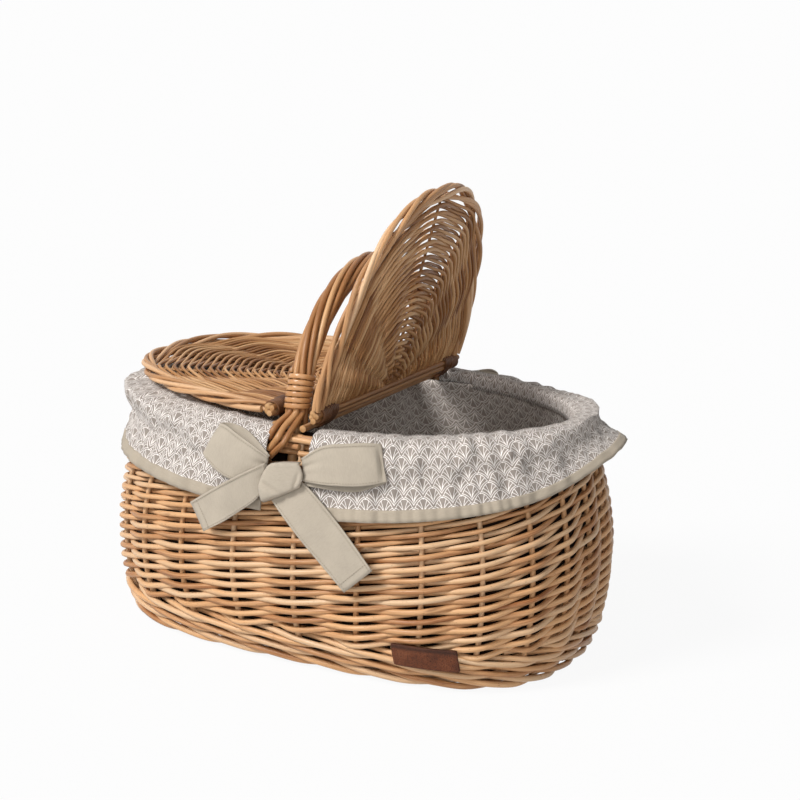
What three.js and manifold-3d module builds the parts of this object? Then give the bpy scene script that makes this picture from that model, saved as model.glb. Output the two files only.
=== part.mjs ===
// An oval willow picnic basket with a roped bow handle, two hinged half lids and a cotton liner.
// Millimetres. +X runs along the basket towards the lid that stands open, +Z is up,
// and the origin is on the floor under the middle of the base.
import * as THREE from 'three';
import { mergeVertices } from 'three/addons/utils/BufferGeometryUtils.js';
import Module from 'manifold-3d';

const wasm = await Module();
wasm.setup();

// Basket wall: outer plan sizes at the base, belly and rim
const rimHeight = 211;
const rimSweep = 6;
const bellyHeight = 100;
const bellyLength = 460;
const bellyWidth = 315;
const baseLength = 416;
const baseWidth = 243;
const rimLength = 416;
const rimWidth = 282;
const baseSquareness = 3;
const bellySquareness = 2.5;
const rimSquareness = 1.95;
const footCurve = 2.5;
const shoulderCurve = 1.5;

// Willow rods
const stakeCount = 25;
const firstStake = 88 * Math.PI / 180;
const stakeThickness = 4.2;
const weaverThickness = 5.3;
const waleThickness = 5;
const footThickness = 9;
const rodGap = 0.5;
const seatGap = 0.3;

// Base mat
const baseStickCount = 17;
const baseStickWidth = 4.4;
const baseStickHeight = 3.4;
const baseSpineWidth = 14;
const baseWeaverWidth = 7.8;
const baseWeaverHeight = 3.2;
const baseRounds = 6;
const matGap = 0.7;
const baseMatHeight = 6;

// Handle
const handleRise = 122.5;
const handleSpan = 242.6;
const handleHeight = rimHeight + handleRise;
const handleCurve = 1.9;
const handleCoreThickness = 8.8;
const strandCount = 8;
const strandThickness = 5.2;
const strandTurns = 1.25;
const splayedStrands = 3;
const splaySpacing = 8.6;
const splayStart = 10.4;
const splayLean = 0.62;
const legDepth = 60;
const bindingLift = 17;
const bindingBottom = rimHeight + bindingLift;
const bindingTurns = 6;
const bindingStripWidth = 3.6;
const bindingStripThickness = 1.3;
const bindingGap = 0.8;

// Lids and hinges
const hingeOffset = 22;
const hingeLift = 14;
const hingeHeight = rimHeight + hingeLift;
const hingeBarThickness = 11;
const hingeBarLength = 262;
const lidReach = 191;
const lidWidth = 269;
const lidSquareness = 2.35;
const lidSlope = 1.2;
const openLidAngle = 75;
const spokeCount = 9;
const spokeSpread = 132;
const spokeThickness = 3.6;
const lidWeaverThickness = 4.8;
const lidRounds = 14;
const lidHubShare = 0.32;
const lidLastShare = 0.89;
const lidRimRodThickness = 5.4;
const lidRimTurns = 3.5;
const crossBarThickness = 6;
const crossBarOffset = 13.5;
const crossBarLength = 268;
const loopWidth = 14;
const loopThickness = 2;
const loopPlace = 106;
const turningGap = 0.4;

// Liner, bows and patch
const clothThickness = 1.5;
const bagGap = 1.5;
const bagDrop = 13;
const bagTop = rimHeight - bagDrop;
const dentDepth = 11;
const dentWidth = 26;
const dentRise = 135;
const skirtOffset = 3.5;
const skirtDrop = 65;
const skirtEdgeLevel = rimHeight - skirtDrop;
const skirtLiftLeft = 10;
const skirtLiftRight = 26;
const skirtEdgeNear = 18;
const skirtEdgeFar = 28;
const skirtColumns = 32;
const foldCount = 18;
const foldDepth = 4;
const endFlare = 19;
const endFlip = 24;
const trimHeight = 10;
const trimThickness = 2.4;
const ribbonWidth = 31;
const ribbonThickness = 1.6;
const knotWidth = 34;
const knotHeight = 38;
const knotDepth = 17;
const ribbonLift = 4.6;
const knotPlace = 8;
const knotDrop = 38;
const knotLevel = rimHeight - knotDrop;
const loopHeight = 8;
const loopReach = 83;
const loopRise = 24;
const leftTailReach = 86;
const leftTailDrop = 46;
const rightTailReach = 76;
const rightTailDrop = 74;
const patchPlace = 107;
const patchLength = 52;
const patchLevel = 37;
const patchDrop = 2;
const patchHeight = 20;
const patchThickness = 1.6;

const Z = new THREE.Vector3(0, 0, 1);
const X = new THREE.Vector3(1, 0, 0);
const vec = (x, y, z) => new THREE.Vector3(x, y, z);
const lerp = THREE.MathUtils.lerp;
const radians = THREE.MathUtils.degToRad;

// Plan half sizes and squareness of the wall's outer surface at a level
function planAt(level) {
  const below = level < bellyHeight;
  const away = below ? (bellyHeight - level) / bellyHeight
    : (level - bellyHeight) / (rimHeight - bellyHeight);
  const share = Math.pow(Math.max(away, 0), below ? footCurve : shoulderCurve);
  const squareShare = away * away;
  return {
    a: lerp(bellyLength, below ? baseLength : rimLength, share) / 2,
    b: lerp(bellyWidth, below ? baseWidth : rimWidth, share) / 2,
    n: lerp(bellySquareness, below ? baseSquareness : rimSquareness, squareShare),
  };
}

// Point on the wall's outer surface, by its azimuth from the middle of the basket
function outerPoint(azimuth, level) {
  const { a, b, n } = planAt(level);
  const c = Math.cos(azimuth);
  const s = Math.sin(azimuth);
  const r = Math.pow(Math.pow(Math.abs(c) / a, n) + Math.pow(Math.abs(s) / b, n), -1 / n);
  const rise = Math.max(0, (level - bellyHeight) / (rimHeight - bellyHeight));
  return vec(r * c, r * s, level + rimSweep * rise * Math.pow(r * c / a, 2));
}

// Unit normal of the wall in plan
function planNormal(azimuth, level) {
  const { a, b, n } = planAt(level);
  const p = outerPoint(azimuth, level);
  const gx = Math.sign(p.x) * Math.pow(Math.abs(p.x), n - 1) / Math.pow(a, n);
  const gy = Math.sign(p.y) * Math.pow(Math.abs(p.y), n - 1) / Math.pow(b, n);
  return vec(gx, gy, 0).normalize();
}

// Unit normal of the wall, square to its slope as well
function wallNormal(azimuth, level) {
  const flat = planNormal(azimuth, level);
  const slope = outerPoint(azimuth, level + 1).sub(outerPoint(azimuth, Math.max(level - 1, 0)));
  slope.normalize();
  return flat.addScaledVector(slope, -flat.dot(slope)).normalize();
}

// Point at a depth inside the outer surface, measured square to the wall
function wallPoint(azimuth, level, depth) {
  return outerPoint(azimuth, level).addScaledVector(wallNormal(azimuth, level), -depth);
}

// Azimuths that stand evenly along the plan at a level
function evenAzimuths(count, level, from = 0, to = 2 * Math.PI) {
  const samples = 720;
  const lengths = [0];
  let last = outerPoint(from, level);
  for (let i = 1; i <= samples; i += 1) {
    const next = outerPoint(lerp(from, to, i / samples), level);
    lengths.push(lengths[i - 1] + next.distanceTo(last));
    last = next;
  }
  const result = [];
  let at = 0;
  for (let k = 0; k < count; k += 1) {
    const target = lengths[samples] * k / count;
    while (lengths[at + 1] < target) at += 1;
    const part = (target - lengths[at]) / (lengths[at + 1] - lengths[at]);
    result.push(lerp(from, to, (at + part) / samples));
  }
  return result;
}

// Azimuth of the wall's outer surface at a place x along the front or back
function azimuthAt(x, level, side) {
  let low = side < 0 ? -Math.PI : 0;
  let high = side < 0 ? 0 : Math.PI;
  for (let i = 0; i < 40; i += 1) {
    const middle = (low + high) / 2;
    const over = outerPoint(middle, level).x > x;
    if (over === (side < 0)) high = middle;
    else low = middle;
  }
  return (low + high) / 2;
}

// Sections of rods, as offsets along the outward and the sideways direction
function roundSection(thickness, sides, turn = 0) {
  const points = [];
  for (let i = 0; i < sides; i += 1) {
    const angle = turn + i * 2 * Math.PI / sides;
    points.push([thickness / 2 * Math.cos(angle), thickness / 2 * Math.sin(angle)]);
  }
  return points;
}

function lensSection(thickness, width) {
  return [[thickness / 2, 0], [0, width / 2], [-thickness / 2, 0], [0, -width / 2]];
}

function flatSection(thickness, width) {
  return [
    [thickness / 2, -width / 2],
    [thickness / 2, width / 2],
    [-thickness / 2, width / 2],
    [-thickness / 2, -width / 2],
  ];
}

// Sum of the signed volumes under a geometry's triangles, to tell which way its faces point
function signedVolume(positions, index) {
  const p = (i) => vec(positions[3 * i], positions[3 * i + 1], positions[3 * i + 2]);
  let sum = 0;
  for (let i = 0; i < index.length; i += 3) {
    sum += p(index[i]).dot(p(index[i + 1]).cross(p(index[i + 2]))) / 6;
  }
  return sum;
}

// A geometry with its faces pointing out
function closedGeometry(positions, index) {
  const outward = signedVolume(positions, index) > 0;
  const geometry = new THREE.BufferGeometry();
  geometry.setAttribute('position', new THREE.Float32BufferAttribute(positions, 3));
  geometry.setIndex(outward ? index : [...index].reverse());
  return geometry;
}

// Joins rings of points into one closed body, with flat caps at its ends unless it is a loop
function ringBody(rings, loop = false) {
  const sides = rings[0].length;
  const positions = rings.flat().flatMap((p) => [p.x, p.y, p.z]);
  const index = [];
  const last = loop ? rings.length : rings.length - 1;
  for (let i = 0; i < last; i += 1) {
    const next = (i + 1) % rings.length;
    for (let j = 0; j < sides; j += 1) {
      const k = (j + 1) % sides;
      const [a, b, c, d] = [i * sides + j, i * sides + k, next * sides + k, next * sides + j];
      index.push(a, b, c, a, c, d);
    }
  }
  if (!loop) {
    const end = (rings.length - 1) * sides;
    for (let j = 1; j < sides - 1; j += 1) {
      index.push(0, j + 1, j);
      index.push(end, end + j, end + j + 1);
    }
  }
  return closedGeometry(positions, index);
}

// A rod along a path. Each path entry gives a point and the direction that its section calls out.
function rod(path, section, loop = false) {
  const count = path.length;
  const rings = path.map((entry, i) => {
    const before = path[loop ? (i + count - 1) % count : Math.max(i - 1, 0)].at;
    const after = path[loop ? (i + 1) % count : Math.min(i + 1, count - 1)].at;
    const along = after.clone().sub(before).normalize();
    const out = entry.out.clone().addScaledVector(along, -entry.out.dot(along)).normalize();
    const side = along.clone().cross(out);
    const wide = entry.wide ?? 1;
    const corner = ([u, v]) => entry.at.clone().addScaledVector(out, u).addScaledVector(side, wide * v);
    return section.map(corner);
  });
  return ringBody(rings, loop);
}

// A sheet of cloth as a closed body: two faces of rows and columns of points, joined at the edges
function sheetBody(front, back) {
  const rows = front.length;
  const columns = front[0].length;
  const positions = [...front.flat(), ...back.flat()].flatMap((p) => [p.x, p.y, p.z]);
  const index = [];
  const quad = (a, b, c, d) => index.push(a, b, c, a, c, d);
  const f = (i, j) => i * columns + j;
  const g = (i, j) => rows * columns + i * columns + j;
  for (let i = 0; i < rows - 1; i += 1) {
    for (let j = 0; j < columns - 1; j += 1) {
      quad(f(i, j), f(i + 1, j), f(i + 1, j + 1), f(i, j + 1));
      quad(g(i, j), g(i, j + 1), g(i + 1, j + 1), g(i + 1, j));
    }
    quad(f(i, 0), g(i, 0), g(i + 1, 0), f(i + 1, 0));
    quad(f(i, columns - 1), f(i + 1, columns - 1), g(i + 1, columns - 1), g(i, columns - 1));
  }
  for (let j = 0; j < columns - 1; j += 1) {
    quad(f(0, j), f(0, j + 1), g(0, j + 1), g(0, j));
    quad(f(rows - 1, j), g(rows - 1, j), g(rows - 1, j + 1), f(rows - 1, j + 1));
  }
  return closedGeometry(positions, index);
}

// Solids for joining and cutting
function toSolid(geometry) {
  const bare = new THREE.BufferGeometry();
  bare.setAttribute('position', geometry.getAttribute('position').clone());
  if (geometry.index) bare.setIndex(geometry.index.clone());
  const merged = mergeVertices(bare, 1e-4);
  return new wasm.Manifold(new wasm.Mesh({
    numProp: 3,
    vertProperties: new Float32Array(merged.getAttribute('position').array),
    triVerts: new Uint32Array(merged.index.array),
  }));
}

function toGeometry(solid) {
  const mesh = solid.getMesh();
  const geometry = new THREE.BufferGeometry();
  geometry.setAttribute('position', new THREE.Float32BufferAttribute(mesh.vertProperties, 3));
  geometry.setIndex([...mesh.triVerts]);
  return geometry;
}

function joined(geometries) {
  return toGeometry(geometries.map(toSolid).reduce((sum, part) => sum.add(part)));
}

// Colours and finishes
function finish(color, roughness) {
  return new THREE.MeshStandardMaterial({ color, roughness, metalness: 0 });
}
const wallWillow = () => finish(0xc99a66, 0.55);
const lidWillow = () => finish(0xa37c58, 0.6);
const handleWillow = () => finish(0xcfa06a, 0.5);
const darkWillow = () => finish(0x5a3a22, 0.6);
const linerCloth = () => finish(0xbdb5af, 0.9);
const trimCloth = () => finish(0xb3aa9c, 0.9);
const leather = () => finish(0x824d34, 0.6);

const basket = new THREE.Group();

function add(group, name, geometry, material) {
  geometry.computeVertexNormals();
  const mesh = new THREE.Mesh(geometry, material);
  mesh.name = name;
  group.add(mesh);
  return mesh;
}

// Depths of the rods inside the wall's outer surface
const stakeDepth = waleThickness + rodGap + stakeThickness / 2;
const wallDepth = 2 * stakeDepth;
const endShare = 0.06;
const passOffset = (side, thickness) => side * (stakeThickness / 2 + rodGap + thickness / 2);
const waleDrop = waleThickness + rodGap;
const footHeight = footThickness * Math.cos(Math.PI / 6);
const bottomWaleLevel = footHeight + rodGap + waleDrop + waleThickness / 2;
const topWaleLevel = bottomWaleLevel + 3 * waleDrop;
const borderLevel = rimHeight - waleThickness / 2;
const pairLevel = borderLevel - 1.5 * waleDrop;
const stakes = evenAzimuths(stakeCount, bellyHeight, firstStake, firstStake + 2 * Math.PI);
const stakeTop = borderLevel - waleThickness / 2 - rodGap;
const stakeLevels = [
  footHeight + seatGap + stakeThickness,
  0.4 * bellyHeight,
  0.9 * bellyHeight,
  lerp(bellyHeight, rimHeight, 0.45),
  stakeTop,
];

// Centre of the stake at an azimuth, which runs straight from one of its levels to the next
function stakePoint(azimuth, level) {
  let k = 1;
  while (k < stakeLevels.length - 1 && stakeLevels[k] < level) k += 1;
  const share = (level - stakeLevels[k - 1]) / (stakeLevels[k] - stakeLevels[k - 1]);
  const low = wallPoint(azimuth, stakeLevels[k - 1], stakeDepth);
  return low.lerp(wallPoint(azimuth, stakeLevels[k], stakeDepth), share);
}

// Centre of the foot hoop, whose underside is flat
function hoopPoint(azimuth) {
  const p = outerPoint(azimuth, 0).addScaledVector(planNormal(azimuth, 0), -footThickness / 2);
  return p.setZ(footHeight / 2);
}

function footHoop(thickness) {
  const path = evenAzimuths(36, 0).map((azimuth) => ({
    at: hoopPoint(azimuth),
    out: planNormal(azimuth, 0),
  }));
  return rod(path, roundSection(thickness, 6), true);
}

// Foot hoop with the stakes standing on it
function stakeFrame() {
  const bodies = [footHoop(footThickness)];
  for (const azimuth of stakes) {
    const path = [{ at: hoopPoint(azimuth), out: planNormal(azimuth, 0) }];
    for (const level of stakeLevels) {
      path.push({ at: stakePoint(azimuth, level), out: wallNormal(azimuth, level) });
    }
    bodies.push(rod(path, roundSection(stakeThickness, 4)));
  }
  return joined(bodies);
}

// A rod woven through the stakes, one ring of its section at each stake that it passes.
// It stops just short of the last one, where another rod may start.
function wovenRod(to, thickness, sides, levelAt, sideAt) {
  const path = [];
  for (let i = 0; i <= to; i += 1) {
    const azimuth = stakes[i % stakeCount];
    const level = levelAt(i);
    const out = wallNormal(azimuth, level);
    const at = stakePoint(azimuth, level).addScaledVector(out, passOffset(sideAt(i), thickness));
    path.push({ at, out });
  }
  const last = path[path.length - 1].at;
  last.lerp(path[path.length - 2].at, endShare);
  return rod(path, roundSection(thickness, sides));
}

// Three rods that go outside two stakes and inside one in turn, like a rope round the wall
function waleRod(which, level) {
  const phase = (i) => (i - which + 3) % 3;
  const levelAt = (i) => level + waleDrop * [0, 1, -1][phase(i)];
  const sideAt = (i) => (phase(i) === 0 ? -1 : 1);
  return wovenRod(stakeCount, waleThickness, 4, levelAt, sideAt);
}

// Two rods woven one over the other under the border, on opposite sides of each stake
function pairRod(which) {
  const sideAt = (i) => ((i + which) % 2 === 0 ? -1 : 1);
  const levelAt = () => pairLevel + waleDrop * (which - 0.5);
  return wovenRod(stakeCount, waleThickness, 4, levelAt, sideAt);
}

// The border hoop closes the rim over the stake tops
function borderHoop() {
  const path = evenAzimuths(36, rimHeight).map((azimuth) => ({
    at: wallPoint(azimuth, borderLevel, stakeDepth),
    out: planNormal(azimuth, rimHeight),
  }));
  return rod(path, roundSection(waleThickness, 4), true);
}

// The side is one rod that winds up in a spiral. The odd number of stakes swaps its side each round.
function sideWeave() {
  const pitch = weaverThickness + rodGap;
  const half = weaverThickness / 2;
  const bottom = topWaleLevel + waleDrop + waleThickness / 2 + rodGap + half;
  const top = pairLevel - waleDrop / 2 - waleThickness / 2 - rodGap - half;
  const steps = Math.floor((top - bottom) / pitch * stakeCount);
  const levelAt = (i) => bottom + pitch * i / stakeCount;
  const sideAt = (i) => (i % 2 === 0 ? -1 : 1);
  return wovenRod(steps, weaverThickness, 3, levelAt, sideAt);
}

// Base mat: sticks that fan out from a spine, and a flat spiral weaver over and under them
const baseLift = baseStickHeight / 2 + matGap + baseWeaverHeight / 2;
const baseHalfSpine = (baseLength - baseWidth) / 2;
const baseEnds = evenAzimuths(baseStickCount, 0)
  .map((azimuth) => hoopPoint(azimuth).setZ(baseMatHeight));
const baseStarts = baseEnds.map((end) => vec(end.x * baseHalfSpine / (baseLength / 2), 0, baseMatHeight));

function baseSticks() {
  const spineEnd = baseHalfSpine + baseStickWidth;
  const spine = new THREE.BoxGeometry(2 * spineEnd, baseSpineWidth, baseStickHeight + 1);
  spine.translate(0, 0, baseMatHeight);
  const sticks = baseEnds.map((end, i) => {
    const path = [{ at: baseStarts[i], out: Z }, { at: end, out: Z }];
    return rod(path, lensSection(baseStickHeight, baseStickWidth));
  });
  const seat = toSolid(footHoop(footThickness + 2 * seatGap));
  return toGeometry(toSolid(joined([spine, ...sticks])).subtract(seat));
}

function baseWeave() {
  const first = 0.32;
  const last = 0.9;
  const steps = baseRounds * baseStickCount;
  const path = [];
  for (let i = 0; i <= steps; i += 1) {
    const k = i % baseStickCount;
    const at = baseStarts[k].clone().lerp(baseEnds[k], lerp(first, last, i / steps));
    at.z += i % 2 === 0 ? baseLift : -baseLift;
    path.push({ at, out: Z });
  }
  return rod(path, flatSection(baseWeaverHeight, baseWeaverWidth));
}

add(basket, 'stake_frame', stakeFrame(), wallWillow());
add(basket, 'side_weave', sideWeave(), wallWillow());
for (let k = 0; k < 3; k += 1) {
  add(basket, `bottom_wale_rod_${k + 1}`, waleRod(k, bottomWaleLevel), wallWillow());
  add(basket, `bottom_wale_rod_${k + 4}`, waleRod(k, topWaleLevel), wallWillow());
}
add(basket, 'border_pair_rod_1', pairRod(0), wallWillow());
add(basket, 'border_pair_rod_2', pairRod(1), wallWillow());
add(basket, 'border_hoop', borderHoop(), wallWillow());
add(basket, 'base_sticks', baseSticks(), wallWillow());
add(basket, 'base_weave', baseWeave(), wallWillow());

// Handle bow in the plane across the basket, with legs that slide down inside the wall
const strandRing = handleCoreThickness / 2 + seatGap + strandThickness / 2;
const legInset = wallDepth + handleCoreThickness / 2;

// The bow leans in from the legs at the rim, by an angle that runs from 0 at the front to 180
function bowPoint(angle) {
  const c = Math.cos(angle);
  const power = 2 / handleCurve;
  const y = -handleSpan / 2 * Math.sign(c) * Math.pow(Math.abs(c), power);
  const z = rimHeight + (handleHeight - rimHeight) * Math.pow(Math.abs(Math.sin(angle)), power);
  return vec(0, y, z);
}

// Angle at which the bow stands at a height, on the front side
function bowAngle(height) {
  return Math.asin(Math.pow((height - rimHeight) / (handleHeight - rimHeight), handleCurve / 2));
}

function handleCore() {
  const path = [];
  const legLevels = [rimHeight - legDepth, rimHeight - legDepth / 2, rimHeight - 8];
  const leg = (side) => legLevels.map((level) => ({
    at: wallPoint(side * Math.PI / 2, level, legInset).setX(0),
    out: vec(1, 0, 0),
  }));
  path.push(...leg(-1));
  const steps = 18;
  for (let i = 0; i <= steps; i += 1) {
    const angle = lerp(0.08, Math.PI - 0.08, i / steps);
    path.push({ at: bowPoint(angle), out: vec(1, 0, 0) });
  }
  path.push(...leg(1).reverse());
  return rod(path, roundSection(handleCoreThickness, 6));
}

// Centre of a strand on the bow, turned round the core
function strandPoint(angle, turn) {
  const step = 0.01;
  const along = bowPoint(angle + step).sub(bowPoint(angle - step)).normalize();
  const across = along.cross(X);
  const out = vec(-Math.sin(turn), 0, 0).addScaledVector(across, -Math.cos(turn));
  return { at: bowPoint(angle).addScaledVector(out, strandRing), out };
}

// Lowest height at which a strand still lies against the core
const splayHeight = bindingBottom - 4;

// Route of a splayed end at the front foot: out over the border and down, leaning towards -X
function splayedEnd(place) {
  const top = splayHeight - 5;
  const start = splayStart - splaySpacing * place;
  const xAt = (z) => start - splayLean * (top - z);
  const shelf = rimHeight + seatGap + strandThickness / 2 + 3;
  const over = vec(xAt(shelf), -rimWidth / 2 - 3, shelf);
  const route = [over];
  for (const drop of [4, 13]) {
    const level = rimHeight - drop;
    const azimuth = azimuthAt(xAt(level), level, -1);
    route.push(wallPoint(azimuth, level, -(rodGap + strandThickness / 2)));
  }
  return route.map((at) => ({ at, out: vec(0, -1, 0) }));
}

const turned = (entry) => ({
  at: entry.at.clone().applyAxisAngle(Z, Math.PI),
  out: entry.out.clone().applyAxisAngle(Z, Math.PI),
});

// A plain end, cut off against the core just above the border
function plainEnd(entry) {
  return [{ at: entry.at.clone().setZ(rimHeight + 1.5), out: entry.out }];
}

// Strands wind round the core. Three of their ends at each foot are splayed over the border.
function handleStrand(which) {
  const steps = 20;
  const startAngle = bowAngle(splayHeight);
  const startTurn = 2 * Math.PI / strandCount * (which + 0.5);
  const path = [];
  for (let i = 0; i <= steps; i += 1) {
    const angle = lerp(startAngle, Math.PI - startAngle, i / steps);
    path.push(strandPoint(angle, startTurn + 2 * Math.PI * strandTurns * i / steps));
  }
  const frontPlace = (which + 2) % strandCount;
  const backPlace = strandCount - 1 - which;
  const front = frontPlace < splayedStrands ? splayedEnd(frontPlace) : plainEnd(path[0]);
  const back = backPlace < splayedStrands ? splayedEnd(backPlace).map(turned) : plainEnd(path[steps]);
  return rod([...front.reverse(), ...path, ...back], roundSection(strandThickness, 4));
}

// A flat strip wound round the strands above a foot, and the least gap between its turns
function binding(side) {
  const stepsPerTurn = 8;
  const inner = strandRing + strandThickness / 2 + seatGap;
  const radius = inner / Math.cos(Math.PI / stepsPerTurn) + bindingStripThickness / 2;
  const pitch = bindingStripWidth + bindingGap;
  const path = [];
  for (let i = 0; i <= bindingTurns * stepsPerTurn; i += 1) {
    const angle = bowAngle(bindingBottom + pitch * i / stepsPerTurn);
    const step = 0.01;
    const across = bowPoint(angle + step).sub(bowPoint(angle - step)).normalize().cross(X);
    const turn = 2 * Math.PI * i / stepsPerTurn;
    const out = vec(Math.cos(turn), 0, 0).addScaledVector(across, Math.sin(turn));
    path.push({ at: bowPoint(angle).addScaledVector(out, radius), out });
  }
  let least = Infinity;
  for (let i = 0; i + stepsPerTurn < path.length; i += 1) {
    least = Math.min(least, path[i].at.distanceTo(path[i + stepsPerTurn].at) - bindingStripWidth);
  }
  console.log(`least gap between the turns of a binding: ${least.toFixed(2)} mm`);
  const geometry = rod(path, flatSection(bindingStripThickness, bindingStripWidth));
  return side < 0 ? geometry : geometry.rotateZ(Math.PI);
}

add(basket, 'handle_core', handleCore(), handleWillow());
for (let k = 0; k < strandCount; k += 1) {
  add(basket, `handle_strand_${k + 1}`, handleStrand(k), handleWillow());
}
add(basket, 'handle_binding_front', binding(-1), handleWillow());
add(basket, 'handle_binding_back', binding(1), handleWillow());

// Cross bars lie over the border on each side of the handle and carry the hinge loops
const crossBarHeight = rimHeight + seatGap + crossBarThickness / 2;

function crossBar(side) {
  const radius = crossBarThickness / 2;
  const bar = new THREE.CylinderGeometry(radius, radius, crossBarLength, 10);
  return bar.translate(side * crossBarOffset, 0, crossBarHeight);
}

const onCircle = (middle, radius, angle) => new THREE.Vector2(
  middle.x + radius * Math.cos(angle),
  middle.y + radius * Math.sin(angle),
);

// Outline of a belt round two circles, with some spare radius on both
function beltOutline(spare) {
  const small = new THREE.Vector2(crossBarOffset, crossBarHeight);
  const large = new THREE.Vector2(hingeOffset, hingeHeight);
  const smallRadius = crossBarThickness / 2 + seatGap + spare;
  const largeRadius = hingeBarThickness / 2 + turningGap + spare;
  const between = large.clone().sub(small);
  const heading = between.angle();
  const tangent = Math.acos((largeRadius - smallRadius) / between.length());
  const arcSteps = 5;
  const points = [];
  for (let i = 0; i <= arcSteps; i += 1) {
    const angle = heading + lerp(-(Math.PI - tangent), Math.PI - tangent, i / arcSteps);
    points.push(onCircle(large, largeRadius, angle));
  }
  for (let i = 0; i <= arcSteps; i += 1) {
    const angle = heading + Math.PI + lerp(-tangent, tangent, i / arcSteps);
    points.push(onCircle(small, smallRadius, angle));
  }
  return points;
}

// A hinge loop goes round a cross bar and a lid's hinge bar, which turns in it
function hingeLoop(side, end) {
  const slack = 0.25;
  const shape = new THREE.Shape(beltOutline(slack + loopThickness));
  shape.holes.push(new THREE.Path(beltOutline(slack)));
  const loop = new THREE.ExtrudeGeometry(shape, { depth: loopWidth, bevelEnabled: false });
  loop.rotateX(Math.PI / 2).translate(0, loopWidth / 2, 0);
  if (side < 0) loop.rotateZ(Math.PI);
  return loop.translate(0, end * loopPlace, 0);
}

for (const [side, sideName] of [[-1, 'left'], [1, 'right']]) {
  add(basket, `cross_bar_${sideName}`, crossBar(side), handleWillow());
  for (const [end, endName] of [[-1, 'front'], [1, 'back']]) {
    add(basket, `hinge_loop_${sideName}_${endName}`, hingeLoop(side, end), darkWillow());
  }
}

// Lid in its own frame: the hinge bar lies along Y and the lid reaches along +X
function lidRadius(angle) {
  const c = Math.abs(Math.cos(angle)) / lidReach;
  const s = Math.abs(Math.sin(angle)) / (lidWidth / 2);
  return Math.pow(Math.pow(c, lidSquareness) + Math.pow(s, lidSquareness), -1 / lidSquareness);
}

function lidNormal(angle) {
  const n = lidSquareness;
  const u = Math.pow(Math.abs(Math.cos(angle)), n - 1) / Math.pow(lidReach, n);
  const v = Math.sign(angle) * Math.pow(Math.abs(Math.sin(angle)), n - 1) / Math.pow(lidWidth / 2, n);
  return vec(u, v, 0).normalize();
}

const lidRimRing = lidRimRodThickness / 2 + 0.35;
const lidRimBand = 2 * lidRimRing + lidRimRodThickness;
const along = (angle, radius) => vec(radius * Math.cos(angle), radius * Math.sin(angle), 0);
const spokeAngles = Array.from({ length: spokeCount }, (_, k) =>
  radians(lerp(-spokeSpread / 2, spokeSpread / 2, k / (spokeCount - 1))));

// Hinge bar with the spokes that fan out from its middle
function lidFrame() {
  const radius = hingeBarThickness / 2;
  const parts = [new THREE.CylinderGeometry(radius, radius, hingeBarLength, 12)];
  for (const angle of spokeAngles) {
    const lean = lidNormal(angle).dot(along(angle, 1));
    const reach = lidRadius(angle) - (lidRimBand + seatGap) / lean;
    const path = [{ at: along(angle, 2), out: Z }, { at: along(angle, reach), out: Z }];
    parts.push(rod(path, roundSection(spokeThickness, 4)));
  }
  return joined(parts);
}

// One weaver goes to and fro over and under the spokes, and turns back beside the hinge bar
function lidWeave() {
  const half = lidWeaverThickness / 2;
  const lift = spokeThickness / 2 + rodGap + half;
  const turnPlace = hingeBarThickness / 2 + turningGap + loopThickness + 2 * rodGap + half;
  const shareAt = (round) => lerp(lidHubShare, lidLastShare, round / lidRounds);
  const turnAt = (round, end, x) => ({ at: vec(x, end * shareAt(round) * lidWidth / 2, 0), out: Z });
  const beside = turnPlace + 0.5 * lidWeaverThickness;
  const path = [turnAt(0, -1, turnPlace)];
  for (let j = 0; j <= lidRounds; j += 1) {
    const forward = j % 2 === 0;
    const order = forward ? spokeAngles : [...spokeAngles].reverse();
    order.forEach((angle, k) => {
      const at = along(angle, shareAt(j) * lidRadius(angle));
      path.push({ at: at.setZ((j + k) % 2 === 0 ? lift : -lift), out: Z });
    });
    const end = forward ? 1 : -1;
    path.push(turnAt(j, end, beside));
    if (j < lidRounds) path.push(turnAt(j + 0.5, end, turnPlace), turnAt(j + 1, end, beside));
  }
  return rod(path, roundSection(lidWeaverThickness, 3));
}

// Two rods twisted round each other along the lid's edge
function lidRimRod(which) {
  const steps = 24;
  const inset = lidRimBand / 2;
  const startX = hingeBarThickness / 2 + seatGap;
  const limit = Math.acos(startX / (lidWidth / 2 - inset));
  const path = [];
  for (let i = 0; i <= steps; i += 1) {
    const angle = lerp(-limit, limit, i / steps);
    const normal = lidNormal(angle);
    const turn = Math.PI * (which + 0.5) + 2 * Math.PI * lidRimTurns * i / steps;
    const out = normal.clone().multiplyScalar(Math.cos(turn)).addScaledVector(Z, Math.sin(turn));
    const middle = along(angle, lidRadius(angle)).addScaledVector(normal, -inset);
    path.push({ at: middle.addScaledVector(out, lidRimRing), out });
  }
  return rod(path, roundSection(lidRimRodThickness, 4));
}

// A lid hangs in a group on its hinge axis, tilted up by an angle
function addLid(side, name, tilt) {
  const hinge = new THREE.Group();
  hinge.position.set(side * hingeOffset, 0, hingeHeight);
  hinge.rotation.y = -side * radians(tilt);
  const facing = new THREE.Group();
  facing.rotation.z = side < 0 ? Math.PI : 0;
  hinge.add(facing);
  basket.add(hinge);
  add(facing, `${name}_frame`, lidFrame(), lidWillow());
  add(facing, `${name}_weave`, lidWeave(), lidWillow());
  add(facing, `${name}_rim_rod_1`, lidRimRod(0), lidWillow());
  add(facing, `${name}_rim_rod_2`, lidRimRod(1), lidWillow());
}

addLid(-1, 'left_lid', lidSlope);
addLid(1, 'right_lid', openLidAngle);

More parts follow.
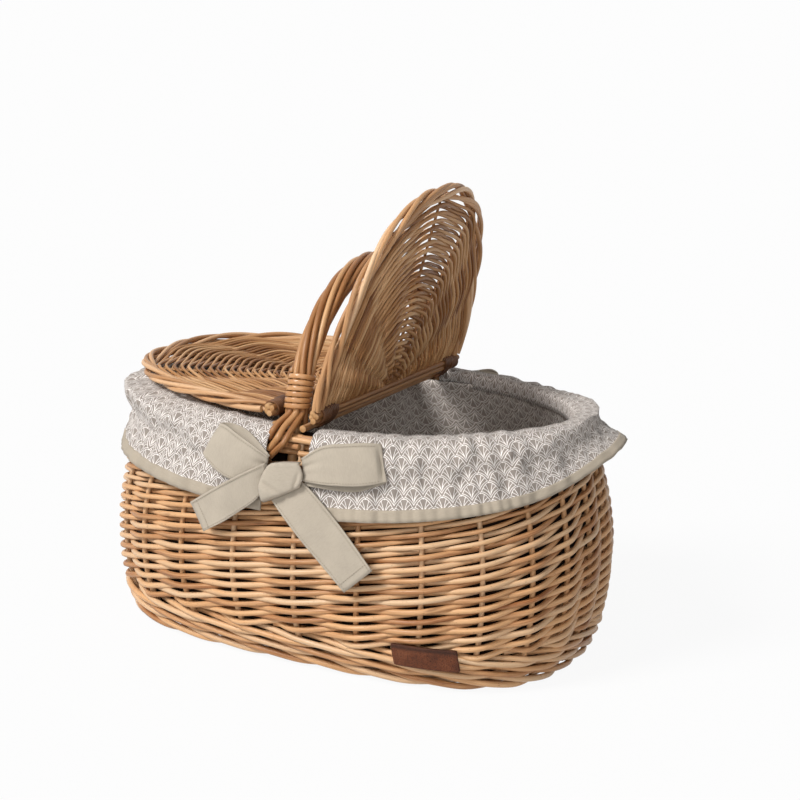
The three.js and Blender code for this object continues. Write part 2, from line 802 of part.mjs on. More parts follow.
// Point at a height, at a depth inside the wall measured square to it
function pointAtHeight(azimuth, height, depth) {
  let level = height;
  for (let i = 0; i < 12; i += 1) {
    const miss = wallPoint(azimuth, Math.max(level, 0), depth).z - height;
    level -= 0.8 * miss;
  }
  return wallPoint(azimuth, Math.max(level, 0), depth).setZ(height);
}

// Liner bag: a cloth cup inside the wall, drawn in where the handle's legs stand
function linerBag() {
  const floor = baseMatHeight + baseLift + baseWeaverHeight / 2 + seatGap;
  const heights = [0, 0.2, 0.42, 0.56, 0.7, 0.85, 1].map((share) => lerp(floor + 6, bagTop, share));
  const azimuths = evenAzimuths(32, bellyHeight);
  const legFoot = rimHeight - legDepth;
  const dent = (p) => {
    const nearLeg = Math.exp(-Math.pow(p.x / dentWidth, 2));
    const up = THREE.MathUtils.smoothstep(p.z, legFoot - dentRise, legFoot);
    return dentDepth * nearLeg * up;
  };
  const ring = (height, spare, z) => azimuths.map((azimuth) => {
    const depth = wallDepth + bagGap + spare;
    const p = pointAtHeight(azimuth, height, depth);
    return p.addScaledVector(planNormal(azimuth, height), -dent(p)).setZ(z);
  });
  const outer = heights.map((height) => ring(height, 0, height));
  const inner = heights.map((height) => ring(height, clothThickness, height));
  const outerFloor = ring(heights[0], 6, floor);
  const innerFloor = ring(heights[0], 6 + clothThickness, floor + clothThickness);
  return ringBody([outerFloor, ...outer, ...inner.reverse(), innerFloor]);
}

// Level of the trim's lower edge, which is lifted towards the ends of the basket
function edgeLevel(azimuth) {
  const x = outerPoint(azimuth, skirtEdgeLevel).x;
  const lift = x > 0 ? skirtLiftRight : skirtLiftLeft;
  const flip = endFlip * Math.exp(-Math.pow(azimuth / 0.2, 2));
  return skirtEdgeLevel + lift * Math.pow(2 * x / bellyLength, 2) + flip;
}

// Share of the skirt's drop that is reached at a level
function dropShare(azimuth, level) {
  const bottom = edgeLevel(azimuth) + trimHeight;
  return THREE.MathUtils.clamp((rimHeight - 2 - level) / (rimHeight - 2 - bottom), 0, 1);
}

// How far the skirt's middle stands off the wall: over the strands' ends, in folds and at the end
function skirtStandOff(azimuth, level) {
  const share = dropShare(azimuth, level);
  const rim = outerPoint(azimuth, rimHeight);
  const overStrands = (strandThickness + 2 * rodGap) * Math.exp(-Math.pow(rim.x / 42, 2));
  const turn = Math.atan2(rim.y / rimWidth, rim.x / rimLength);
  const loose = Math.sin(2.6 * share) * (1 - Math.exp(-Math.pow(rim.x / 90, 2)));
  const fold = foldDepth * loose * (0.5 - 0.5 * Math.cos(foldCount * turn));
  const flare = endFlare * Math.exp(-Math.pow(azimuth / 0.3, 2)) * share;
  return skirtOffset + overStrands + fold + flare;
}

// Azimuths of a skirt's columns, from its one edge round an end of the basket to the other
function skirtAzimuths(side) {
  const level = rimHeight - 10;
  const from = azimuthAt(side * skirtEdgeFar, level, -side);
  const last = azimuthAt(side * skirtEdgeNear, level, side);
  const to = side > 0 ? last : last + 2 * Math.PI;
  const azimuths = [...evenAzimuths(skirtColumns, level, from, to), to];
  return azimuths.map((azimuth) => (azimuth > Math.PI ? azimuth - 2 * Math.PI : azimuth));
}

// Cloth skirt over the border and down outside, with a face of points for each side of the cloth
function skirt(side) {
  const inside = wallDepth + bagGap;
  const top = rimHeight + seatGap + clothThickness / 2;
  const face = (spare) => skirtAzimuths(side).map((azimuth) => {
    const bottom = edgeLevel(azimuth) + trimHeight + seatGap / 2;
    const lift = (depth, level) => {
      const p = wallPoint(azimuth, rimHeight, depth);
      return p.setZ(outerPoint(azimuth, rimHeight).z + level - rimHeight - spare);
    };
    const column = [
      wallPoint(azimuth, bagTop + 6, inside - spare),
      lift(inside - spare, top),
      lift(2, top + 0.6),
    ];
    for (const share of [0.08, 0.36, 0.68, 1]) {
      const level = lerp(rimHeight - 2, bottom, share);
      column.push(wallPoint(azimuth, level, spare - skirtStandOff(azimuth, level)));
    }
    return column;
  });
  return sheetBody(face(-clothThickness / 2), face(clothThickness / 2));
}

// Plain band sewn to the skirt's lower edge
function trim(side) {
  const face = (spare) => skirtAzimuths(side).map((azimuth) => {
    const bottom = edgeLevel(azimuth);
    const offset = spare - skirtStandOff(azimuth, bottom);
    return [bottom + trimHeight - seatGap / 2, bottom]
      .map((level) => wallPoint(azimuth, level, offset));
  });
  return sheetBody(face(-trimThickness / 2), face(trimThickness / 2));
}

// Point over the front of the cloth, at a place, a level and a lift off the cloth's face
function overCloth(x, level, lift) {
  const azimuth = azimuthAt(x, level, -1);
  return wallPoint(azimuth, level, -(skirtStandOff(azimuth, level) + trimThickness / 2 + lift));
}

// Ribbon along points, from entries of x, level, lift and share of its width
function ribbon(entries, reach, rise) {
  const points = entries.map(([x, level, lift]) => overCloth(x, level, lift));
  const across = vec(reach, 0, rise).cross(vec(0, -1, 0)).normalize();
  const path = points.map((at, i) => {
    const before = points[Math.max(i - 1, 0)];
    const after = points[Math.min(i + 1, points.length - 1)];
    const out = across.clone().cross(after.clone().sub(before)).normalize();
    return { at, out, wide: entries[i][3] };
  });
  return rod(path, flatSection(ribbonThickness, ribbonWidth));
}

// Ribbon bow over the gap between the skirts: two loops, two tails and a knot
function bow(side) {
  const low = ribbonLift;
  const high = low + loopHeight;
  const band = (rows, reach, rise) => ribbon(rows.map(([share, lift, wide]) => [
    knotPlace + share * reach,
    knotLevel + share * rise,
    lift,
    wide,
  ]), reach, rise);
  const loop = (reach) => band([
    [0, high, 0.55],
    [0.25, high + 1, 0.8],
    [0.6, high + 2, 1],
    [0.92, high, 1],
    [1, (low + high) / 2, 1],
    [0.92, low, 1],
    [0.6, low, 1],
    [0.25, low, 0.8],
    [0, low, 0.55],
  ], reach, loopRise);
  const tail = (reach, drop) => band([
    [0, low + 2, 0.55],
    [0.25, low + 1, 0.85],
    [0.5, low, 1],
    [0.75, low, 1],
    [1, low, 1],
  ], reach, -drop);
  const knot = new THREE.SphereGeometry(0.5, 8, 6).scale(knotWidth, knotDepth, knotHeight);
  const middle = overCloth(knotPlace, knotLevel, seatGap + knotDepth / 2);
  knot.translate(middle.x, middle.y, middle.z);
  const loops = [loop(-loopReach), loop(loopReach)];
  const tails = [tail(-leftTailReach, leftTailDrop), tail(rightTailReach, rightTailDrop)];
  const whole = joined([knot, ...loops, ...tails]);
  return side < 0 ? whole : whole.rotateZ(Math.PI);
}

// Bare leather patch low on the front of the wall
function patch() {
  const steps = 4;
  const offset = patchThickness / 2 + seatGap;
  const path = [];
  for (let i = 0; i <= steps; i += 1) {
    const level = patchLevel - patchDrop * i / steps;
    const azimuth = azimuthAt(patchPlace + patchLength * i / steps, level, -1);
    path.push({ at: wallPoint(azimuth, level, -offset), out: wallNormal(azimuth, level) });
  }
  return rod(path, flatSection(patchThickness, patchHeight));
}

add(basket, 'liner_bag', linerBag(), linerCloth());
for (const [side, name] of [[-1, 'left'], [1, 'right']]) {
  add(basket, `skirt_${name}`, skirt(side), linerCloth());
  add(basket, `trim_${name}`, trim(side), trimCloth());
}
add(basket, 'bow_front', bow(-1), trimCloth());
add(basket, 'bow_back', bow(1), trimCloth());
add(basket, 'leather_patch', patch(), leather());

export default basket;
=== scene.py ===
from math import acos, asin, atan2, copysign, cos, exp, hypot, pi, radians, sin

import bpy
from mathutils import Matrix
import numpy as np


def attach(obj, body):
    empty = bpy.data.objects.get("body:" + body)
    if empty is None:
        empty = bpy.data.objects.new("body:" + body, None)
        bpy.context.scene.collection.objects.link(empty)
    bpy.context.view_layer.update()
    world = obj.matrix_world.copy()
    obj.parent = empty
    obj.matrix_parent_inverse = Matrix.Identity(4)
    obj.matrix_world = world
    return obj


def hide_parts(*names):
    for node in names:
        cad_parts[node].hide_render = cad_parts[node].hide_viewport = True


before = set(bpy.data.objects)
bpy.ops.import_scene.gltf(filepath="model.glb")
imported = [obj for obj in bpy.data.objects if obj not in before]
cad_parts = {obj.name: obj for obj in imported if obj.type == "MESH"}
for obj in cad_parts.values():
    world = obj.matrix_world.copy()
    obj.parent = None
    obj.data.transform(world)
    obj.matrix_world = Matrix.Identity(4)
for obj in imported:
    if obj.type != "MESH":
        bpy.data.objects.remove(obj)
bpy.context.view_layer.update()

# Lengths are in millimetres while a shape is made, and become metres when its mesh is made.
MM = 0.001
TAU = 2 * pi
draw = np.random.default_rng(7)

# Wall: outer plan at the base, the belly and the rim
RIM_HEIGHT = 211.0
RIM_SWEEP = 6.0
BELLY_HEIGHT = 100.0
BELLY_LENGTH, BELLY_WIDTH, BELLY_SQUARENESS = 460.0, 315.0, 2.5
BASE_LENGTH, BASE_WIDTH, BASE_SQUARENESS = 416.0, 243.0, 3.0
RIM_LENGTH, RIM_WIDTH, RIM_SQUARENESS = 416.0, 282.0, 1.95
FOOT_CURVE, SHOULDER_CURVE = 2.5, 1.5

# Stakes and the rods woven between them
STAKES = 25
FIRST_STAKE = 0.26
STAKE_CROWDING = 0.2
STAKE_DEPTH = 7.6
STAKE_RADIUS = 2.3
STAKE_LEVELS = (4, 14, 34, 60, 90, 120, 150, 180, 205)
WEAVER_RADIUS = 2.35
ROW_PITCH = 4.65
LAYERS = 34
FIRST_LAYER = 34.0
SEAM = 8
BACK_STAKE = 12
WALE_RADIUS = 2.6
FOOT_RADIUS = 2.9

# Border: level and place across the wall of its three rods, and levels of the woven pair below
BORDER_RODS = ((208.3, 0.0), (206.0, 5.0), (205.5, -5.0))
PAIR_LEVELS = (200.6, 195.6)

# Base
BASE_LEVEL = 6.0
BASE_STICKS = 17
BASE_ROUNDS = 19
BASE_LIFT = 3.4
SPINE_OFFSETS = (-5.0, 0.0, 5.0)

# Handle
HANDLE_HEIGHT = 333.5
HANDLE_SPAN = 242.6
HANDLE_CURVE = 1.9
CORE_RADIUS = 4.4
LEG_DEPTH = 15.2
STRANDS = 8
STRAND_RADIUS = 2.7
STRAND_RING = 7.3
STRAND_TURNS = 1.25
BINDING_BOTTOM = 227.0
BINDING_TURNS = 6.5
BINDING_PITCH = 4.5

# Hinges and lids
HINGE_OFFSET = 22.0
HINGE_HEIGHT = 225.0
CROSS_BAR_OFFSET = 13.5
CROSS_BAR_HEIGHT = 214.3
CROSS_BAR_HALF = 133.5
CROSS_BAR_RADIUS = 3.0
LOOP_PLACE = 106.0
LOOP_WIDTH = 13.2
LOOP_TURNS = 5
LID_REACH = 191.0
LID_WIDTH = 269.0
LID_SQUARENESS = 2.35
LID_PITCH = 3.3
LID_SLOPE = 1.2
OPEN_ANGLE = 75.0
HINGE_BAR_HALF = 131.0
SPOKES = [radians(a) for a in np.linspace(-76, 76, 7)]
LID_RIM_RODS = 5
LID_RIM_INSET = 8.0

# Cloth and leather
CLOTH_THICKNESS = 0.9
SKIRT_NEAR, SKIRT_FAR = 10.0, 29.0
SKIRT_COLUMNS = 460
FOLD_RUN = 700.0
FOLD_PITCH = 34.0
BAG_FLOOR = 14.2
BAG_LEVELS = (15.2, 24, 45, 75, 105, 135, 160, 185, 199, 206)
PATCH_LEFT, PATCH_LENGTH = 107.5, 52.0
PATCH_LEVEL, PATCH_HALF = 37.0, 10.3

# Fans on the liner, in metres: outlines are parabolas that fall from the top of each fan
FAN_WIDTH = 0.0166
FAN_DROP = 0.0078
FAN_CREST = 0.0015
OUTER_FALL, INNER_FALL = 84.0, 132.0
OUTER_LINE, INNER_LINE, RAY_LINE = 0.0005, 0.00048, 0.00046
RAY_START, RAY_LENGTH = 0.0126, 0.0092
# Each ray: the power of its curve, how far out it ends, and its slant
RAYS = ((1.6, 0.0023, 0.92), (2.3, 0.0064, 0.70))
THREAD_PITCH = 0.0009

# Camera and light: degrees, and millimetres from the middle of the object
VIEW_AZIMUTH, VIEW_ELEVATION, VIEW_ROLL = 27.8, 14.22, 1.68
VIEW_CENTRE = 150.0
VIEW_RIGHT, VIEW_UP, VIEW_DISTANCE = 30.26, 58.42, 2009.0
FOCAL_PIXELS, FRAME_PIXELS = 2242.02, 800
SENSOR_WIDTH = 36
FLOOR_HALF = 30.0
FLOOR_GREY = 0.70
FLOOR_WHITE_SHARE = 0.93
FILL_LIGHT = 0.26


# Curves

def unit(v):
    return v / np.maximum(np.linalg.norm(v, axis=-1, keepdims=True), 1e-9)


def up(height):
    return np.array([0.0, 0.0, height])


def smooth(value, low, high):
    """0 below low, 1 above high, and an even passage between them."""
    t = np.clip((value - low) / (high - low), 0.0, 1.0)
    return t * t * (3 - 2 * t)


def hump(value, middle, width):
    return exp(-((value - middle) / width) ** 2)


def run_along(path):
    """Length along a path up to each of its points."""
    return np.concatenate([[0], np.cumsum(np.linalg.norm(np.diff(path, axis=0), axis=1))])


def spline(points, steps):
    """A smooth curve through points, with a number of steps from each to the next."""
    p = np.asarray(points, float)
    p = np.vstack([2 * p[0] - p[1], p, 2 * p[-1] - p[-2]])
    t = np.linspace(0, 1, steps, endpoint=False)[:, None]
    parts = [0.5 * (2 * b + (c - a) * t + (2 * a - 5 * b + 4 * c - d) * t ** 2
                    + (3 * b - a - 3 * c + d) * t ** 3)
             for a, b, c, d in zip(p, p[1:], p[2:], p[3:])]
    return np.vstack([*parts, p[-2:-1]])


def oval_radius(angle, a, b, n):
    """Radius of a squarish oval with half lengths a and b."""
    return (abs(cos(angle) / a) ** n + abs(sin(angle) / b) ** n) ** (-1 / n)


def oval_normal(x, y, a, b, n):
    return unit(np.array([copysign(abs(x) ** (n - 1) / a ** n, x),
                          copysign(abs(y) ** (n - 1) / b ** n, y), 0.0]))


# Shape of the wall

def plan_at(level):
    """Half length, half width and squareness of the wall's outer plan at a level."""
    below = level < BELLY_HEIGHT
    away = abs(level - BELLY_HEIGHT) / (BELLY_HEIGHT if below else RIM_HEIGHT - BELLY_HEIGHT)
    share = away ** (FOOT_CURVE if below else SHOULDER_CURVE)
    length, width, square = ((BASE_LENGTH, BASE_WIDTH, BASE_SQUARENESS) if below
                             else (RIM_LENGTH, RIM_WIDTH, RIM_SQUARENESS))
    a = BELLY_LENGTH + (length - BELLY_LENGTH) * share
    b = BELLY_WIDTH + (width - BELLY_WIDTH) * share
    return a / 2, b / 2, BELLY_SQUARENESS + (square - BELLY_SQUARENESS) * away * away


def outer_point(azimuth, level):
    """Point on the outside of the wall. The upper levels rise towards the two ends."""
    a, b, n = plan_at(level)
    r = oval_radius(azimuth, a, b, n)
    x, y = r * cos(azimuth), r * sin(azimuth)
    rise = max(0.0, (level - BELLY_HEIGHT) / (RIM_HEIGHT - BELLY_HEIGHT))
    return np.array([x, y, level + RIM_SWEEP * rise * (x / a) ** 2])


def plan_normal(azimuth, level):
    x, y, _ = outer_point(azimuth, level)
    return oval_normal(x, y, *plan_at(level))


def wall_normal(azimuth, level):
    flat = plan_normal(azimuth, level)
    slope = unit(outer_point(azimuth, level + 1) - outer_point(azimuth, max(level - 1, 0)))
    return unit(flat - slope * flat.dot(slope))


def wall_point(azimuth, level, depth):
    return outer_point(azimuth, level) - wall_normal(azimuth, level) * depth


def even_azimuths(count, level, start=0.0, end=TAU, closed=True):
    """Azimuths that stand evenly along the plan at a level."""
    t = np.linspace(start, end, 1441)
    run = run_along(np.array([outer_point(a, level) for a in t]))
    share = np.arange(count) / (count if closed else count - 1)
    return np.interp(share * run[-1], run, t)


def azimuth_at(x, level, side):
    """Azimuth where the wall passes an x, on the front (-1) or the back (1)."""
    low, high = (-pi, 0.0) if side < 0 else (0.0, pi)
    for _ in range(40):
        middle = (low + high) / 2
        if (outer_point(middle, level)[0] > x) == (side < 0):
            high = middle
        else:
            low = middle
    return (low + high) / 2


fine_azimuths = even_azimuths(1200, BELLY_HEIGHT, -pi / 2, 1.5 * pi, closed=False)


def stake_azimuth(i):
    """Azimuth at a place counted in stakes. They stand closer at the two ends of the oval."""
    share = (i + FIRST_STAKE) / STAKES
    share += STAKE_CROWDING / (2 * TAU) * sin(2 * TAU * share)
    turns, part = divmod(share, 1.0)
    return float(np.interp(part, np.linspace(0, 1, 1200), fine_azimuths)) + TAU * turns


def stake_point(i, level, off=0.0):
    """Point at a place counted in stakes, off their line outwards (+) or inwards (-)."""
    return wall_point(stake_azimuth(i), level, STAKE_DEPTH - off)


# Meshes

def steady_normals(along):
    """Directions square to a path that turn no more than the path does."""
    v = np.cross(along[0], [0.0, 0.0, 1.0])
    if np.linalg.norm(v) < 0.1:
        v = np.cross(along[0], [1.0, 0.0, 0.0])
    normals = []
    for heading in along:
        v = unit(v - heading * v.dot(heading))
        normals.append(v)
    return np.array(normals)


class Rods:
    """Rods and strips gathered into one mesh, with a tone for each and a mark on its cut ends."""

    def __init__(self):
        self.points, self.faces, self.uv, self.tone, self.cut, self.count = [], [], [], [], [], 0

    def add(self, path, radius, tone=None, sides=8, out=None, width=None):
        """A rod along a path, or with a width a flat strip that faces along out."""
        path = np.asarray(path, float)
        n = len(path)
        along = unit(np.gradient(path, axis=0))
        out = steady_normals(along) if out is None else out
        out = unit(out - along * np.sum(out * along, axis=1, keepdims=True))
        angle = np.arange(sides) / sides * TAU
        c, s = np.cos(angle), np.sin(angle)
        half = np.broadcast_to(np.asarray(radius, float), (n,))[:, None, None]
        wide = half
        if width is not None:
            wide = width
            c, s = (np.sign(a) * np.abs(a) ** 0.7 for a in (c, s))
        rings = (path[:, None] + out[:, None] * c[None, :, None] * half
                 + np.cross(along, out)[:, None] * s[None, :, None] * wide)
        run = run_along(path) * MM
        shift = draw.uniform(0, 5)
        tone = draw.uniform(0, 1) if tone is None else tone
        i, j = np.meshgrid(np.arange(n - 1), np.arange(sides), indexing="ij")
        k = (j + 1) % sides
        quad = np.stack([i * sides + j, i * sides + k, (i + 1) * sides + k, (i + 1) * sides + j], -1)
        self.faces.append(quad.reshape(-1, 4) + self.count)
        u = np.stack([run[i], run[i], run[i + 1], run[i + 1]], -1) + shift
        v = np.stack([j, j + 1, j + 1, j], -1) / sides
        self.uv.append(np.stack([u, v], -1).reshape(-1, 4, 2))
        self.push(rings.reshape(-1, 3), tone, 0.0)
        ring = np.arange(sides)
        ahead = (ring + 1) % sides
        hub = np.full(sides, sides)
        for end, turn, corners in ((0, -1, (ahead, ring, hub, hub)), (n - 1, 1, (ring, ahead, hub, hub))):
            middle = path[end] + along[end] * turn * half[end, 0] * 0.25
            self.faces.append(np.stack(corners, -1) + self.count)
            self.uv.append(np.zeros((sides, 4, 2)) + shift)
            self.push(np.vstack([rings[end], middle]), tone, 1.0)

    def push(self, points, tone, cut):
        self.points.append(points)
        self.tone.append(np.full(len(points), tone))
        self.cut.append(np.full(len(points), cut))
        self.count += len(points)

    def build(self, name, material, *nodes, body="basket"):
        """The mesh, whose faces have four corners, or three where the fourth repeats the third."""
        points, faces, uv = np.vstack(self.points) * MM, np.vstack(self.faces), np.vstack(self.uv)
        three = faces[:, 2] == faces[:, 3]
        keep = np.ones(faces.shape, bool)
        keep[three, 3] = False
        corners = faces[keep]
        starts = np.concatenate([[0], np.cumsum(np.where(three, 3, 4))[:-1]])
        mesh = bpy.data.meshes.new(name)
        mesh.vertices.add(len(points))
        mesh.vertices.foreach_set("co", points.ravel())
        mesh.loops.add(len(corners))
        mesh.loops.foreach_set("vertex_index", corners)
        mesh.polygons.add(len(faces))
        mesh.polygons.foreach_set("loop_start", starts)
        mesh.polygons.foreach_set("use_smooth", ~three)
        mesh.update(calc_edges=True)
        mesh.uv_layers.new(name="run").data.foreach_set("uv", uv[keep].ravel())
        for key, values in (("tone", self.tone), ("cut", self.cut)):
            mesh.attributes.new(key, "FLOAT", "POINT").data.foreach_set("value", np.concatenate(values))
        place(mesh, name, material, nodes, body)


def in_scene(name, data):
    made = bpy.data.objects.new(name, data)
    bpy.context.scene.collection.objects.link(made)
    return made


def place(mesh, name, material, nodes, body="basket"):
    """A piece in the scene, on its body, in place of its nodes."""
    mesh.validate()
    piece = in_scene(name, mesh)
    mesh.materials.append(material)
    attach(piece, body)
    if nodes:
        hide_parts(*nodes)
    return piece


def cloth(name, rows, thickness, material, *nodes, closed=False, uv_start=(0.0, 0.0),
          cut=slice(None)):
    """Cloth through rows of points, as a closed sheet with two faces, and its flat size in metres.

    The rows in cut set its flat width."""
    p = np.asarray(rows, float)
    if closed:
        p = np.concatenate([p, p[:, :1]], axis=1)
    down, across = np.gradient(p, axis=(0, 1))
    if closed:
        across[:, 0] = across[:, -1] = (p[:, 1] - p[:, -2]) / 2
    r, c = p.shape[:2]
    u = np.cumsum(np.linalg.norm(np.diff(p, axis=1), axis=2), axis=1)
    u = np.concatenate([np.zeros((r, 1)), u], axis=1)[cut].mean(axis=0) * MM + uv_start[0]
    v = np.cumsum(np.linalg.norm(np.diff(p, axis=0), axis=2), axis=0)
    v = uv_start[1] - np.concatenate([np.zeros((1, c)), v], axis=0).mean(axis=1) * MM
    half = unit(np.cross(across, down)) * thickness / 2
    skins = [p + half, p - half]
    if closed:
        skins = [s[:, :-1] for s in skins]
    cols = skins[0].shape[1]
    back = r * cols
    index = np.arange(back).reshape(r, cols)
    i, j = (a.ravel() for a in np.meshgrid(np.arange(r - 1), np.arange(c - 1), indexing="ij"))
    k = (j + 1) % cols
    front = np.stack([index[i, j], index[i, k], index[i + 1, k], index[i + 1, j]], -1)
    uv = np.stack([u[j], v[i], u[j + 1], v[i], u[j + 1], v[i + 1], u[j], v[i + 1]], -1).reshape(-1, 4, 2)
    faces, uvs = [front, front[:, ::-1] + back], [uv, uv[:, ::-1]]
    edges = [(index[0], u[0], v[0], 1), (index[-1], u[0], v[-1], -1)]
    if not closed:
        edges += [(index[:, 0], u[0], v[0], -1), (index[:, -1], u[-1], v[0], 1)]
    for line, at_u, at_v, order in edges:
        ahead = np.roll(line, -1)
        if not closed:
            line, ahead = line[:-1], ahead[:-1]
        faces.append(np.stack([ahead, line, line + back, ahead + back], -1)[:, ::order])
        uvs.append(np.tile([at_u, at_v], (len(line), 4, 1)))
    faces = np.vstack(faces)
    mesh = bpy.data.meshes.new(name)
    mesh.from_pydata((np.concatenate([s.reshape(-1, 3) for s in skins]) * MM).tolist(), [], faces.tolist())
    mesh.uv_layers.new(name="run").data.foreach_set("uv", np.vstack(uvs).ravel())
    mesh.polygons.foreach_set("use_smooth", np.ones(len(faces), bool))
    under = np.zeros(len(faces))
    under[len(front):2 * len(front)] = 1.0
    mesh.attributes.new("under", "FLOAT", "FACE").data.foreach_set("value", under)
    piece = place(mesh, name, material, nodes)
    return piece, (float(u[-1] - u[0]), float(v[0] - v[-1]))


# Materials

class Graph:
    """The node tree of a material or the world, with short ways to make its nodes."""

    def __init__(self, owner):
        owner.use_nodes = True
        self.owner, self.tree = owner, owner.node_tree
        self.shader = self.tree.nodes.get("Principled BSDF")

    def node(self, kind, **settings):
        made = self.tree.nodes.new(kind)
        for key, value in settings.items():
            setattr(made, key, value)
        return made

    def join(self, source, target):
        self.tree.links.new(source, target)

    def put(self, value, socket):
        if isinstance(value, bpy.types.NodeSocket):
            self.join(value, socket)
        else:
            socket.default_value = value

    def set(self, **values):
        """Values on the shader's own sockets, with _ for each space in a name."""
        for key, value in values.items():
            self.put(value, self.shader.inputs[key.replace("_", " ")])

    def maths(self, operation, a, b=0.0):
        made = self.node("ShaderNodeMath", operation=operation)
        self.put(a, made.inputs[0])
        self.put(b, made.inputs[1])
        return made.outputs[0]

    def times(self, a, b):
        return self.maths("MULTIPLY", a, b)

    def plus(self, a, b):
        return self.maths("ADD", a, b)

    def minus(self, a, b):
        return self.maths("SUBTRACT", a, b)

    def other(self, share):
        return self.minus(1.0, share)

    def root(self, value):
        return self.maths("SQRT", value)

    def uv(self):
        made = self.node("ShaderNodeSeparateXYZ")
        self.join(self.node("ShaderNodeUVMap", uv_map="run").outputs[0], made.inputs[0])
        return made.outputs[0], made.outputs[1]

    def stretched(self, *parts):
        """A place for noise, from up to three values that are each times a number."""
        made = self.node("ShaderNodeCombineXYZ")
        for (value, by), socket in zip(parts, made.inputs):
            self.put(self.times(value, by), socket)
        return made.outputs[0]

    def attribute(self, name):
        return self.node("ShaderNodeAttribute", attribute_name=name).outputs["Fac"]

    def noise(self, vector, scale, detail=3.0, roughness=0.55):
        made = self.node("ShaderNodeTexNoise")
        self.put(vector, made.inputs["Vector"])
        for key, value in (("Scale", scale), ("Detail", detail), ("Roughness", roughness)):
            made.inputs[key].default_value = value
        return made.outputs["Fac"]

    def spread(self, value, low, high, to_low=0.0, to_high=1.0):
        made = self.node("ShaderNodeMapRange", clamp=True)
        self.put(value, made.inputs["Value"])
        for key, number in (("From Min", low), ("From Max", high), ("To Min", to_low), ("To Max", to_high)):
            made.inputs[key].default_value = number
        return made.outputs["Result"]

    def ramp(self, value, *stops):
        made = self.node("ShaderNodeValToRGB")
        self.put(value, made.inputs["Fac"])
        entries = made.color_ramp.elements
        while len(entries) < len(stops):
            entries.new(0.5)
        for entry, (at, tone) in zip(entries, stops):
            entry.position = at
            entry.color = linear(tone)
        return made.outputs["Color"]

    def blend(self, share, a, b):
        made = self.node("ShaderNodeMix", data_type="RGBA")
        self.put(share, made.inputs["Factor"])
        self.put(a, made.inputs[6])
        self.put(b, made.inputs[7])
        return made.outputs[2]

    def mix_shaders(self, share, first, second):
        made = self.node("ShaderNodeMixShader")
        self.join(share, made.inputs["Fac"])
        self.join(first, made.inputs[1])
        self.join(second, made.inputs[2])
        return made.outputs[0]

    def bump(self, height, strength):
        made = self.node("ShaderNodeBump")
        made.inputs["Strength"].default_value = strength
        made.inputs["Distance"].default_value = 1.0
        self.put(height, made.inputs["Height"])
        self.set(Normal=made.outputs[0])


def linear(tone):
    """A colour given in screen values of 0 to 255, as linear values of 0 to 1."""
    parts = [c / 255 for c in tone]
    return tuple(c / 12.92 if c <= 0.04045 else ((c + 0.055) / 1.055) ** 2.4 for c in parts) + (1.0,)


def shaded(tone, by):
    return tuple(min(255, by * c) for c in tone)


def willow(name, dark, middle, light, speck=0.5, gloss=0.42, coat=0.25):
    """Varnished willow: a tone for each rod, streaks along it, specks, and pale fibres at cut ends."""
    g = Graph(bpy.data.materials.new(name))
    along, around = g.uv()
    tone = g.attribute("tone")
    streak = g.noise(g.stretched((along, 22.0), (around, 5.0), (tone, 40.0)), 2.2, 5.0, 0.6)
    patches = g.noise(g.stretched((along, 7.0), (around, 1.0), (tone, 13.0)), 1.4, 2.0)
    dots = g.noise(g.stretched((along, 320.0), (around, 9.0), (tone, 1.0)), 1.0, 2.0, 0.5)
    knots = g.noise(g.stretched((along, 30.0), (around, 2.0), (tone, 1.0)), 1.0, 1.0, 0.4)
    fibres = g.noise(g.stretched((along, 60.0), (around, 26.0), (tone, 1.0)), 1.0, 3.0, 0.6)
    mixed = g.plus(g.times(tone, 0.36), g.plus(g.times(streak, 0.36), g.times(patches, 0.34)))
    base = g.ramp(mixed, (0.24, dark), (0.52, middle), (0.80, light))
    base = g.blend(g.spread(dots, 0.66, 0.74, 0.0, speck), base, linear((84, 46, 20)))
    base = g.blend(g.spread(knots, 0.72, 0.80, 0.0, 0.55), base, linear((96, 56, 28)))
    base = g.blend(g.times(g.attribute("cut"), 0.7), base, linear((178, 138, 94)))
    g.set(Base_Color=base, Roughness=g.spread(streak, 0.3, 0.7, gloss - 0.08, gloss + 0.14),
          Specular_IOR_Level=0.25, Coat_Weight=coat, Coat_Roughness=0.22)
    g.bump(g.plus(g.times(fibres, 0.0003), g.times(dots, 0.00025)), 0.6)
    return g.owner


def weave_height(g, along, down):
    """Threads that go over and under each other, as a height of 0 to 1 in both directions."""
    u, v = (g.maths("DIVIDE", a, THREAD_PITCH) for a in (along, down))
    warp, weft = (g.maths("ABSOLUTE", g.maths("SINE", g.times(a, pi))) for a in (u, v))
    over = g.maths("FLOORED_MODULO", g.plus(g.maths("FLOOR", u), g.maths("FLOOR", v)), 2.0)
    return g.plus(g.times(over, warp), g.times(g.other(over), weft))


